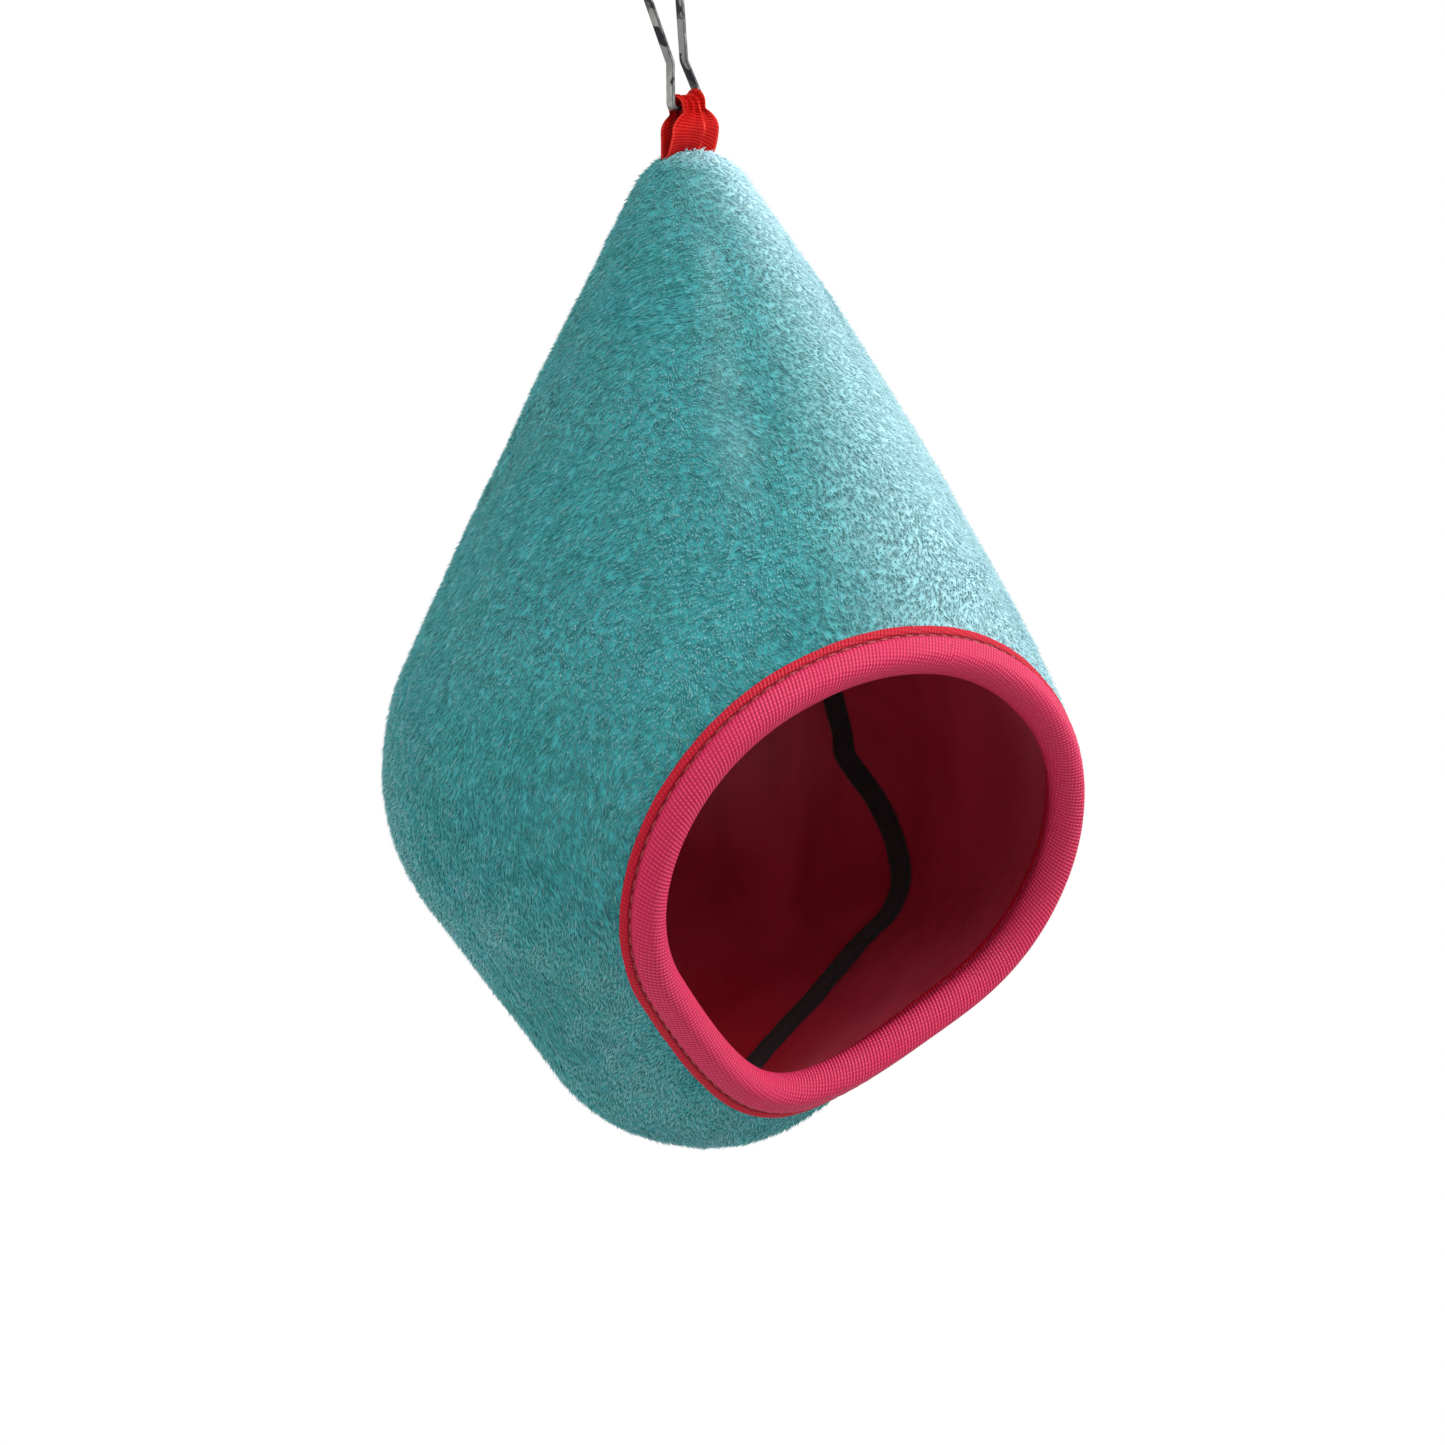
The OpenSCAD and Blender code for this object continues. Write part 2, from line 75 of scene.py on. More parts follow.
# Wall, as depths from its outer face
PLUSH_T = 2.0
FOAM_OUT, FOAM_IN = 2.1, 4.9
LINING_OUT = 5.0
WALL_T = 5.8

# Mouth
MOUTH_TOP = 91.0
MOUTH_LIP = 7.0
MOUTH_TURN = math.radians(9.0)
MOUTH_TURN_R = 48.0

# Mouth tape
TAPE_REACH = 4.8
TAPE_BAND_T = 1.1
FOLD_ROOM = 1.4
TAPE_GAP = 0.35
RIM_PINCH = 1.3
PINCH_W = 12.0
TAPE_LEAN = math.tan(math.radians(3.0))
TAPE_SPREAD = math.tan(math.radians(9.0))
TAPE_RIB = 0.66
STITCH = 2.4
GROOVE_X, GROOVE_H = -3.06, 0.2

# Seam tape
SEAM_TAPE_W = 4.0
SEAM_TAPE_T = 0.9
SEAM_TAPE_GAP = 0.3

# Ribbon
RIBBON_W = 10.8
RIBBON_BELLY_W = 11.4
RIBBON_GATHER_W = 5.0
RIBBON_T = 0.5
GATHER_T = 0.9
LOOP_H = 7.8
LOOP_SHIFT = 1.4
FOOT_GAP = 1.0
SWING_GAP = 0.35
FOOT_PLAY = 0.15
RIBBON_RUN = 19.7
# Below the bar the ribbon stays narrow as far as the eye's legs reach at the limits, then swells
CLEAR_OF_LEGS = 0.95
SWELL_H = 4.0

# Clip
STRIP_W = 1.7
STRIP_T = 0.7
STRIP_EDGE_R = 0.16
EYE_LEAN = 15.0
EYE_H = 8.0
NECK_W = 3.3
LEG_SPREAD = 10.7
HOOK_R = 5.5
CORNER_R = 1.0
NECK_R = 1.6
END_SLIT = 0.4
CLIP_LEAN = 16.0

EYE_W = NECK_W + 2 * EYE_H * math.tan(math.radians(EYE_LEAN))
SPREAD = math.radians(LEG_SPREAD)
HOOK_CENTRE = EYE_H + (HOOK_R - NECK_W / 2 * math.cos(SPREAD)) / math.sin(SPREAD)
CLIP_REACH = HOOK_CENTRE + HOOK_R - STRIP_T / 2
LEAN = math.radians(CLIP_LEAN)
OVER_R = math.hypot(STRIP_W, STRIP_T) / 2 + SWING_GAP
BAR_AT = CLIP_REACH * np.array([math.sin(LEAN), 0.0, -math.cos(LEAN)])
APEX_AT = BAR_AT + np.array([LOOP_SHIFT, 0.0, -LOOP_H])
DROP_MIDDLE = APEX_AT - np.array([0.0, 10.0, 85.0])


def turn(a, b, r):
    """Move along an arc while the heading turns from a to b, in degrees from straight down."""
    a, b = np.radians(a), np.radians(b)
    return r * np.stack([np.cos(b) - np.cos(a), np.sin(a) - np.sin(b)], -1)


def unit(v):
    return v / np.maximum(np.linalg.norm(v, axis=-1, keepdims=True), 1e-12)


def smooth_step(x, low, high):
    t = np.clip((x - low) / (high - low), 0.0, 1.0)
    return t * t * (3 - 2 * t)


class Outline:
    """One side of the drop seen from the side: apex arc, bowed wall, shoulder, under-slope, floor arc."""

    def __init__(self, slope, bow, shoulder_r, under, shift):
        top, low, u = slope + bow / 2, slope - bow / 2, math.radians(under)
        apex, wall = turn(90, top, APEX_R), turn(top, low, 1.0)
        shoulder, floor_arc = turn(low, -under, shoulder_r), turn(-under, -90, FLOOR_R)
        rest = np.array([shift, DROP_H]) - apex - shoulder - floor_arc
        det = wall[0] * math.cos(u) + wall[1] * math.sin(u)
        wall_r = (rest[0] * math.cos(u) + rest[1] * math.sin(u)) / det
        self.under_l = (wall[0] * rest[1] - wall[1] * rest[0]) / det
        self.heading = np.array([90, top, low, -under, -under, -90])
        self.radius = np.array([APEX_R, wall_r, shoulder_r, 0, FLOOR_R])
        shoulder_at = apex + wall * wall_r
        under_at = shoulder_at + shoulder
        floor_at = under_at + self.under_l * np.array([-math.sin(u), math.cos(u)])
        self.start = np.array([[0, 0], apex, shoulder_at, under_at, floor_at])

    def at(self, s, inset=0.0):
        """[outward, down] at station s, from 0 at the apex to 5 at the lowest point."""
        s = np.asarray(s, float)
        k = np.minimum(np.floor(s), 4).astype(int)
        a = self.heading[k]
        b = a + (self.heading[k + 1] - a) * (s - k)
        arc = turn(a, b, 1.0) * self.radius[k][..., None]
        slope = np.radians(a)
        line = ((s - k) * self.under_l)[..., None] * np.stack([np.sin(slope), np.cos(slope)], -1)
        facing = np.stack([np.cos(np.radians(b)), -np.sin(np.radians(b))], -1)
        along = np.where((k == 3)[..., None], line, arc)
        return self.start[k] + along - np.asarray(inset, float)[..., None] * facing

    def station(self, down):
        low, high = 0.0, 5.0
        for _ in range(40):
            mid = (low + high) / 2
            low, high = (mid, high) if self.at(mid)[1] < down else (low, mid)
        return low


BACK = Outline(23, 1, 39, 31, -FLOOR_SHIFT)
FRONT = Outline(31.5, 11, 42, 63, FLOOR_SHIFT)


def ring(s, inset=0.0):
    """Middle and half-diameter of a ring of the drop, as [y, down]."""
    behind, before = BACK.at(s, inset), FRONT.at(s, inset) * [-1, 1]
    return (behind + before) / 2, (behind - before) / 2


def wall(s, angle, inset=0.0):
    """Point of the wall at a station, an angle from the middle of the back and a depth in the wall."""
    c, h = ring(s, inset)
    a = np.radians(angle)
    across = np.linalg.norm(h, axis=-1) * np.sin(a)
    y = c[..., 0] + h[..., 0] * np.cos(a)
    down = c[..., 1] + h[..., 1] * np.cos(a)
    return APEX_AT + np.stack([across, y, -down], -1)


def seam_at(s):
    """Angle from the middle of the back to a side seam, which comes forward round the belly."""
    start, end = SEAM_TURNS
    share = np.clip((np.asarray(s, float) - start) / (end - start), 0, 1) ** 0.8
    return SEAM_ANGLE + SEAM_TURN * smooth_step(share, 0, 1)


LIP_STATION = FRONT.station(DROP_H - MOUTH_LIP)
TOP_STATION = FRONT.station(MOUTH_TOP)
LIP_AT = FRONT.at(LIP_STATION) * [-1, 1]
LIP_TO_TOP = FRONT.at(TOP_STATION) * [-1, 1] - LIP_AT
MOUTH_LEAN = math.atan2(-LIP_TO_TOP[0], -LIP_TO_TOP[1]) - math.asin(
    MOUTH_TURN_R * (1 - math.cos(MOUTH_TURN)) / math.hypot(*LIP_TO_TOP)
)
EDGE_ALONG = np.array([-math.sin(MOUTH_LEAN), -math.cos(MOUTH_LEAN)])
EDGE_ACROSS = np.array([-math.cos(MOUTH_LEAN), math.sin(MOUTH_LEAN)])
TURN_AT = LIP_TO_TOP @ EDGE_ALONG - MOUTH_TURN_R * math.sin(MOUTH_TURN)
TURN_CENTRE = LIP_AT + TURN_AT * EDGE_ALONG + MOUTH_TURN_R * EDGE_ACROSS


def mouth_angle(s):
    """Angle from the middle of the back at which a ring meets the mouth's edge."""
    c, h = ring(s)
    on_line = ((LIP_AT - c) @ EDGE_ACROSS) / (h @ EDGE_ACROSS)
    reach = (c + on_line[..., None] * h - LIP_AT) @ EDGE_ALONG
    hh = (h * h).sum(-1)
    b = (h * (c - TURN_CENTRE)).sum(-1)
    q = ((c - TURN_CENTRE) ** 2).sum(-1) - MOUTH_TURN_R**2
    on_arc = (-b + np.sqrt(np.maximum(0, b * b - hh * q))) / hh
    share = np.where(reach > TURN_AT, on_arc, on_line)
    return np.degrees(np.arccos(np.clip(share, -1, 1)))


MOUTH_STEPS = 72
MOUTH_ROWS = TOP_STATION + (LIP_STATION - TOP_STATION) * (
    1 - np.cos(np.linspace(0, math.pi, MOUTH_STEPS + 1))
) / 2
ROWS = np.concatenate(
    [
        np.linspace(0, 1, 13)[:-1],
        np.linspace(1, TOP_STATION, 44)[:-1],
        MOUTH_ROWS,
        np.linspace(LIP_STATION, 5, 12)[1:],
    ]
)
AT_MOUTH = (ROWS > TOP_STATION) & (ROWS < LIP_STATION)


def noisy(points, size, seed=0.0):
    """Smooth noise from -1 to 1 at points in mm, with lumps of about that size."""
    shift = Vector((seed, 0, 0))
    flat = [noise.noise(Vector(p) / size + shift) for p in points.reshape(-1, 3)]
    return np.array(flat).reshape(points.shape[:-1])


def rim_points(inset, count=2400):
    """The mouth's edge at a depth in the wall: from the top down the right side and up the left."""
    half = TOP_STATION + (LIP_STATION - TOP_STATION) * (1 - np.cos(np.linspace(0, math.pi, count))) / 2
    angle = mouth_angle(half)
    angle[0] = angle[-1] = 180.0
    right = wall(half, angle, inset)
    left = wall(half[-2:0:-1], -angle[-2:0:-1], inset)
    return np.concatenate([right, left])


def along_closed(points, *others, count):
    """Evenly spaced points of a closed line, and the same places on the lines that go with it."""
    loop = np.concatenate([points, points[:1]])
    run = np.concatenate([[0], np.cumsum(np.linalg.norm(np.diff(loop, axis=0), axis=1))])
    want = np.linspace(0, run[-1], count + 1)[:-1]
    found = []
    for line in (points, *others):
        closed = np.concatenate([line, line[:1]])
        found.append(np.stack([np.interp(want, run, closed[:, i]) for i in range(3)], -1))
    return run[-1], found


RIM_STEPS = 360
RIM_MID = (rim_points(0) + rim_points(WALL_T)) / 2
RIM_L, (rim_mid, rim_outer, rim_inner) = along_closed(
    RIM_MID, rim_points(0), rim_points(WALL_T), count=RIM_STEPS
)


def rim_distance(points):
    """Distance from points to the mouth's outer edge."""
    flat = points.reshape(-1, 3)
    near = np.full(len(flat), 1e9)
    for start in range(0, len(flat), 4000):
        part = flat[start : start + 4000]
        near[start : start + 4000] = np.linalg.norm(part[:, None] - rim_outer[None, ::2], axis=2).min(1)
    return near.reshape(points.shape[:-1])


def pinched(s, angle, inset=0.0):
    """Point of the wall where the mouth's tape presses its layers together."""
    share = np.maximum(0.0, 1 - rim_distance(wall(s, angle)) / PINCH_W)
    inset = np.asarray(inset, float)
    return wall(s, angle, inset + RIM_PINCH * share * (1 - 2 * inset / WALL_T))


def new_piece(name, points, faces, finish, uv=None, attributes=None):
    """A mesh object from points in mm. uv is one (u, v) for each corner of each face."""
    mesh = bpy.data.meshes.new(name)
    mesh.from_pydata((np.asarray(points) * MM).tolist(), [], faces)
    if uv is not None:
        layer = mesh.uv_layers.new(name="cloth")
        layer.data.foreach_set("uv", np.asarray(uv, np.float32).ravel())
    for key, values in (attributes or {}).items():
        values = np.asarray(values, np.float32)
        kind, field = ("FLOAT_VECTOR", "vector") if values.ndim == 2 else ("FLOAT", "value")
        mesh.attributes.new(key, kind, "POINT").data.foreach_set(field, values.ravel())
    mesh.polygons.foreach_set("use_smooth", [True] * len(mesh.polygons))
    if finish is not None:
        mesh.materials.append(finish)
    mesh.update()
    piece = bpy.data.objects.new(name, mesh)
    bpy.context.scene.collection.objects.link(piece)
    return piece


def grid_faces(rows, cols, flip=False, start=0):
    i, j = np.meshgrid(np.arange(rows - 1), np.arange(cols - 1), indexing="ij")
    a = start + i * cols + j
    quads = np.stack([a, a + 1, a + cols + 1, a + cols], -1).reshape(-1, 4)
    return quads[:, ::-1] if flip else quads


def merged(points, faces, *others):
    """Points that coincide become one, so that poles and middle columns are closed."""
    keys = np.round(points * 2000).astype(np.int64)
    _, first, back = np.unique(keys, axis=0, return_index=True, return_inverse=True)
    back = back.reshape(-1)
    clean = []
    for face in back[faces]:
        kept = [int(v) for n, v in enumerate(face) if v != face[n - 1]]
        if len(kept) > 2 and len(set(kept)) == len(kept):
            clean.append(kept)
    return (points[first], clean, *[o[first] for o in others])


def side_patch(cols=40, side=1):
    """Stations and angles of one half of the front, from the seam to the mouth's edge or the middle."""
    end = np.where(AT_MOUTH, mouth_angle(ROWS), 180.0)
    start = seam_at(ROWS)[:, None] + SEAM_GAP
    share = np.linspace(0, 1, cols + 1)
    angle = start + (end[:, None] - start) * share
    return np.repeat(ROWS[:, None], cols + 1, 1), side * angle


def back_patch(cols=44):
    span = seam_at(ROWS)[:, None] - SEAM_GAP
    return np.repeat(ROWS[:, None], cols + 1, 1), span * np.linspace(-1, 1, cols + 1)


def front_skin():
    """Stations, angles and faces of the whole front panel."""
    s_right, a_right = side_patch(side=1)
    s_left, a_left = side_patch(side=-1)
    rows, cols = s_right.shape
    s = np.concatenate([s_right.ravel(), s_left.ravel()])
    a = np.concatenate([a_right.ravel(), a_left.ravel()])
    faces = np.concatenate([grid_faces(rows, cols), grid_faces(rows, cols, True, rows * cols)])
    return s, a, faces


def back_skin():
    s, a = back_patch()
    return s.ravel(), a.ravel(), grid_faces(*s.shape)


def shell(name, skin, outer, inner, finish):
    """A closed panel of one layer. outer and inner give its two faces from stations and angles."""
    s, a, faces = skin
    points, faces, s, a = merged(wall(s, a, 0.0), faces, s, a)
    count = len(points)
    sides = dict.fromkeys((face[n - 1], v) for face in faces for n, v in enumerate(face))
    walls = [[b, a_, a_ + count, b + count] for (a_, b) in sides if (b, a_) not in sides]
    inside = [[v + count for v in reversed(face)] for face in faces]
    both = np.concatenate([outer(s, a), inner(s, a)])
    # Painted light for the finishes: pale is a painted highlight on the plush, and low is a painted pool of
    # light on the lining's floor
    painted_light = {"pale": np.tile(painted_highlight(s, a), 2), "low": np.tile(smooth_step(s, 3.2, 4.4), 2)}
    return new_piece(name, both, faces + inside + walls, finish, attributes=painted_light)


class Value:
    """An output of a node. Python's operators on one add Math nodes."""

    def __init__(self, tree, node, socket):
        self.tree, self.node, self.socket = tree, node, socket

    def other(self, name):
        return Value(self.tree, self.node, self.node.outputs[name])

    def math(self, operation, *values, **settings):
        sockets = dict(enumerate(values))
        return self.tree.node("ShaderNodeMath", {"operation": operation, **settings}, sockets)

    def __add__(self, x):
        return self.math("ADD", self, x)

    def __radd__(self, x):
        return self.math("ADD", x, self)

    def __sub__(self, x):
        return self.math("SUBTRACT", self, x)

    def __rsub__(self, x):
        return self.math("SUBTRACT", x, self)

    def __mul__(self, x):
        return self.math("MULTIPLY", self, x)

    def __rmul__(self, x):
        return self.math("MULTIPLY", x, self)

    def __truediv__(self, x):
        return self.math("DIVIDE", self, x)

    def sine(self):
        return self.math("SINE", self)

    def absolute(self):
        return self.math("ABSOLUTE", self)

    def clamped(self):
        return self.math("ADD", self, 0.0, use_clamp=True)


class Tree:
    """A node tree that is being built."""

    def __init__(self, tree):
        self.tree = tree

    def node(self, kind, settings=None, sockets=None, out=0):
        """A new node. Its settings are set first, then the values or links of its sockets."""
        made = self.tree.nodes.new(kind)
        for key, value in (settings or {}).items():
            if key == "stops":
                ramp = made.color_ramp
                while len(ramp.elements) < len(value):
                    ramp.elements.new(0.5)
                for stop, (place, colour) in zip(ramp.elements, value):
                    stop.position, stop.color = place, colour
            else:
                setattr(made, key, value)
        for key, value in (sockets or {}).items():
            socket = made.inputs[key] if isinstance(key, int) else self.socket(made, key)
            if isinstance(value, Value):
                self.tree.links.new(value.socket, socket)
            else:
                socket.default_value = value
        return Value(self, made, made.outputs[out]) if len(made.outputs) else made

    @staticmethod
    def socket(made, key):
        named = [s for s in made.inputs if key in (s.identifier, s.name)]
        return ([s for s in named if s.enabled] or named)[0]


class Finish(Tree):
    """A material that is being built round one Principled shader."""

    def __init__(self, name, **shader):
        self.material = bpy.data.materials.new(name)
        self.material.use_nodes = True
        super().__init__(self.material.node_tree)
        self.tree.nodes.clear()
        self.shader = self.node("ShaderNodeBsdfPrincipled", None, shader).node
        surface = self.wrap(self.shader.outputs[0])
        self.output = self.node("ShaderNodeOutputMaterial", None, {"Surface": surface})

    def wrap(self, socket):
        return Value(self, socket.node, socket)

    def set(self, **sockets):
        for key, value in sockets.items():
            self.tree.links.new(value.socket, self.socket(self.shader, key.replace("_", " ")))

    def place(self):
        return self.node("ShaderNodeTexCoord", out="Object")

    def uv(self):
        laid = self.node("ShaderNodeUVMap", {"uv_map": "cloth"})
        split = self.node("ShaderNodeSeparateXYZ", None, {0: laid})
        return split, split.other("Y")

    def attribute(self, name):
        return self.node("ShaderNodeAttribute", {"attribute_name": name}, out="Fac")

    def noise(self, scale, detail=2.0, rough=0.5, at=None, **more):
        sockets = {"Vector": at or self.place(), "Scale": scale, "Detail": detail, "Roughness": rough, **more}
        return self.node("ShaderNodeTexNoise", None, sockets)

    def stretch(self, size, at=None):
        """Coordinates stretched, so that a pattern on them is drawn out."""
        return self.node("ShaderNodeMapping", None, {"Vector": at or self.place(), "Scale": size})

    def between(self, value, low, high):
        """0 below low, 1 above high."""
        sockets = {"Value": value, "From Min": low, "From Max": high}
        return self.node("ShaderNodeMapRange", {"interpolation_type": "SMOOTHSTEP"}, sockets)

    def mix(self, share, a, b):
        sockets = {"Factor_Float": share, "A_Color": a, "B_Color": b}
        return self.node("ShaderNodeMix", {"data_type": "RGBA"}, sockets, out=2)

    def bump(self, height, distance, strength=1.0, under=None):
        sockets = {"Height": height, "Distance": distance, "Strength": strength}
        if under is not None:
            sockets["Normal"] = under
        return self.node("ShaderNodeBump", None, sockets)


def colour(code, alpha=1.0):
    """A colour written as on screen, in the linear values that a shader takes."""
    parts = [int(code[i : i + 2], 16) / 255 for i in (0, 2, 4)]
    return (*[c / 12.92 if c <= 0.04045 else ((c + 0.055) / 1.055) ** 2.4 for c in parts], alpha)


# Pale teal of the painted highlight on the plush
PAINTED_HIGHLIGHT_TEAL = colour("c4e6ef")


def fleece_base():
    """The ground of the plush, seen between the tufts: a little darker than they are, mottled, and painted
    pale where the painted highlight falls.
    """
    f = Finish("plush_ground", Roughness=0.9, **{"Sheen Weight": 0.4, "Sheen Roughness": 0.5})
    f.shader.inputs["Sheen Tint"].default_value = colour("bfe9ee")
    clumps = f.noise(700, 3, 0.6)
    shade = f.mix(f.between(clumps, 0.32, 0.68), colour("1d7478"), colour("36a2a6"))
    # pale mixes in the painted highlight
    f.set(Base_Color=f.mix(f.attribute("pale") * 0.9, shade, PAINTED_HIGHLIGHT_TEAL))
    f.set(Normal=f.bump(clumps, 0.0006, 0.8))
    return f.material


def fleece_pile():
    """Tufts of the plush: darker at the root as painted shade, paler at the tip, in clumps that lean green or
    blue, with painted glints and a painted highlight.
    """
    f = Finish("plush_pile", Roughness=0.8, **{"Sheen Weight": 0.7, "Sheen Roughness": 0.45})
    f.shader.inputs["Sheen Tint"].default_value = colour("c8eef2")
    tone, tip = f.attribute("tone"), f.attribute("tip")
    clump = f.between(f.noise(330, 2, 0.6), 0.3, 0.7)
    # tip paints each tuft darker towards its root: painted shade deep in the pile
    light = (tip * 0.3 + tone * 0.3 + clump * 0.4).clamped()
    stops = ((0.0, "126e70"), (0.4, "229a9c"), (0.75, "4fbdc4"), (1.0, "84d6dc"))
    ramp = [(place, colour(code)) for place, code in stops]
    dyed = f.node("ShaderNodeValToRGB", {"stops": ramp}, {"Fac": light})
    hue = f.mix(f.between(f.noise(75, 3, 0.6), 0.35, 0.65), colour("229a8e"), colour("2a94a0"))
    # Painted glints: a few tufts get a pale tip
    glint = f.between(tone, 0.94, 0.97) * tip
    # pale mixes in the painted highlight on the side that faces the key light
    with_painted_highlight = f.mix((f.attribute("pale") * (clump * 0.3 + 0.85)).clamped(), f.mix(0.3, dyed, hue), PAINTED_HIGHLIGHT_TEAL)
    f.set(Base_Color=f.mix(glint * 0.7, with_painted_highlight, colour("d6f2f4")))
    return f.material


def foam():
    """Open cell foam of the padding."""
    f = Finish("foam_sheet", Roughness=0.95)
    cells = f.node("ShaderNodeTexVoronoi", {"feature": "F1"}, {"Vector": f.place(), "Scale": 1400.0})
    f.set(Base_Color=f.mix(f.between(cells, 0.1, 0.6), colour("b9b19a"), colour("e9e4d4")))
    f.set(Normal=f.bump(cells, 0.0004, 0.6))
    return f.material


def lining_cloth():
    """Smooth, fine lining with a soft gloss, a hair of weave and faint drawn creases, painted lighter and
    darker along the creases and painted brighter red on its floor, where light falls in through the mouth.
    """
    f = Finish("lining_cloth", Roughness=0.5, **{"Sheen Weight": 0.5, "Sheen Roughness": 0.5})
    f.shader.inputs["Sheen Tint"].default_value = colour("d8788c")
    creases = f.noise(45, 3, 0.55, f.stretch((1.0, 1.0, 0.35)), Distortion=0.6)
    weave = f.noise(2600, 2, 0.6)
    # Painted light and shade: the lining is painted lighter and darker along its creases
    drawn = f.mix(f.between(creases, 0.3, 0.7), colour("9c1a2e"), colour("ba2e46"))
    # Painted light: brighter red towards the lining's floor, where light falls in through the mouth
    f.set(Base_Color=f.mix(f.attribute("low") * 0.8, drawn, colour("c90f1e")))
    f.set(Roughness=f.between(creases, 0.2, 0.8) * 0.14 + 0.44)
    f.set(Normal=f.bump(weave, 0.00012, 0.5, f.bump(creases, 0.0012, 0.25)))
    return f.material


def binding_tape():
    """Ribbed pink tape. Its two flat edges and the grooves beside them are crimson."""
    f = Finish("mouth_tape", Roughness=0.6, **{"Specular IOR Level": 0.2})
    u, v = f.uv()
    wander = f.noise(120, 2) * 0.8
    rib = (u * (2 * math.pi / TAPE_RIB) + v * 3.4 + wander).sine() * 0.5 + 0.5
    bead = (v * (2 * math.pi / TAPE_RIB) - u * 1.6).sine() * 0.5 + 0.5
    middle = (v - TAPE_V / 2).absolute()
    ragged = middle + (f.noise(500, 2) - 0.5) * 0.2
    edge = f.between(ragged, TAPE_V / 2 - 1.95, TAPE_V / 2 - 1.75)
    groove = f.between(middle, TAPE_V / 2 - 2.5, TAPE_V / 2 - 2.0) * (
        1 - f.between(middle, TAPE_V / 2 - 1.8, TAPE_V / 2 - 1.5)
    )
    yarn = (rib * (bead * 0.6 + 0.4)).clamped()
    band = f.mix(yarn, colour("a01434"), colour("f84678"))
    cloudy = f.mix(f.between(f.noise(90, 2), 0.35, 0.75) * 0.4, band, colour("c81e50"))
    flange = f.mix(yarn * 0.7, colour("a60620"), colour("dc183c"))
    dyed = f.mix(edge, cloudy, flange)
    f.set(Base_Color=f.mix(groove * 0.85, dyed, colour("6e0412")))
    f.set(Normal=f.bump(yarn, 0.0002, 1.0))
    return f.material


def woven_black():
    """Matt black woven seam tape."""
    f = Finish("seam_tape", Roughness=0.9, **{"Sheen Weight": 0.15})
    u, v = f.uv()
    weft = (u * (2 * math.pi / 0.45)).sine()
    warp = (v * (2 * math.pi / 0.5)).sine()
    threads = weft * warp * 0.5 + 0.5
    f.set(Base_Color=f.mix(threads * f.noise(700, 2), colour("0c0b0d"), colour("242228")))
    f.set(Normal=f.bump(threads, 0.0001, 0.7))
    return f.material


def red_ribbon():
    """Fine ribbed red ribbon with firm edges and two pressed creases along it; a painted highlight runs along
    the edges and the creases, and painted shade darkens it towards both ends.
    """
    f = Finish("red_ribbon", Roughness=0.6, **{"Specular IOR Level": 0.06})
    u, v = f.uv()
    rib = (v * (2 * math.pi / 0.5) + u * 2.6).sine() * 0.5 + 0.5
    yarn = (u * (2 * math.pi / 0.5) - v * 1.6).sine() * 0.5 + 0.5
    middle = (u - RIBBON_W / 2).absolute()
    selvedge_highlight = f.between(middle, RIBBON_W / 2 - 0.6, RIBBON_W / 2 - 0.35)
    off_crease = (u - RIBBON_W * 0.68).absolute()
    crease_highlight = (1 - f.between(off_crease, 0.1, 0.35)) * f.between(f.noise(320, 2), 0.35, 0.6)
    off_middle = (v - RIBBON_RUN / 2).absolute()
    foot = f.between(off_middle, RIBBON_RUN / 2 - 6.0, RIBBON_RUN / 2)
    cloth = f.mix(rib * (yarn * 0.6 + 0.4), colour("a00606"), colour("d0140e"))
    # Darker in random patches, and painted shade towards both ends, where the ribbon goes into the plush
    shade = (f.between(f.noise(150, 2), 0.4, 0.7) * 0.3 + foot * 0.6).clamped()
    shaded = f.mix(shade, cloth, colour("8a0405"))
    # Painted highlight along both edges and along the crease
    f.set(Base_Color=f.mix((selvedge_highlight * 0.3 + crease_highlight * 0.7).clamped(), shaded, colour("f04a3c")))
    f.set(Normal=f.bump(rib * 0.7 + yarn * 0.3, 0.0001, 0.8))
    return f.material


def thread():
    """Sewing thread, twisted."""
    f = Finish("crimson_thread", Roughness=0.6, **{"Sheen Weight": 0.3})
    twist = f.noise(2200, 1)
    f.set(Base_Color=f.mix(twist, colour("7c0a18"), colour("c21f3c")))
    return f.material


def bright_steel():
    """Rolled steel strip in small flat faces, each painted lighter or darker as a painted reflection, with
    darker edges.
    """
    f = Finish("rolled_steel", Metallic=1.0, Roughness=0.45)
    drawn = f.noise(900, 3, 0.6, f.stretch((1.0, 1.0, 0.12)))
    waver = f.noise(500, 1).other("Color")
    bent = f.node("ShaderNodeVectorMath", {"operation": "SCALE"}, {0: waver, "Scale": 0.0016})
    at = f.node("ShaderNodeVectorMath", {"operation": "ADD"}, {0: f.stretch((1.0, 1.0, 0.55)), 1: bent})
    cells = f.node("ShaderNodeTexVoronoi", {"feature": "F1"}, {"Vector": at, "Scale": 420.0})
    face = f.node("ShaderNodeSeparateXYZ", None, {0: cells.other("Color")})
    # Painted reflection: each small face is painted lighter or darker
    light = f.between(face, 0.2, 0.75)
    rolled = f.mix(drawn, colour("6f706e"), colour("a4a5a0"))
    faces = f.mix(light, colour("2c2e31"), rolled)
    f.set(Base_Color=f.mix(f.attribute("edge") * 0.8, faces, colour("303134")))
    f.set(Roughness=f.between(drawn, 0.25, 0.8) * 0.15 + 0.4)
    f.set(Normal=f.bump(cells, 0.0008, 0.5, f.bump(drawn, 0.00004, 0.4)))
    return f.material


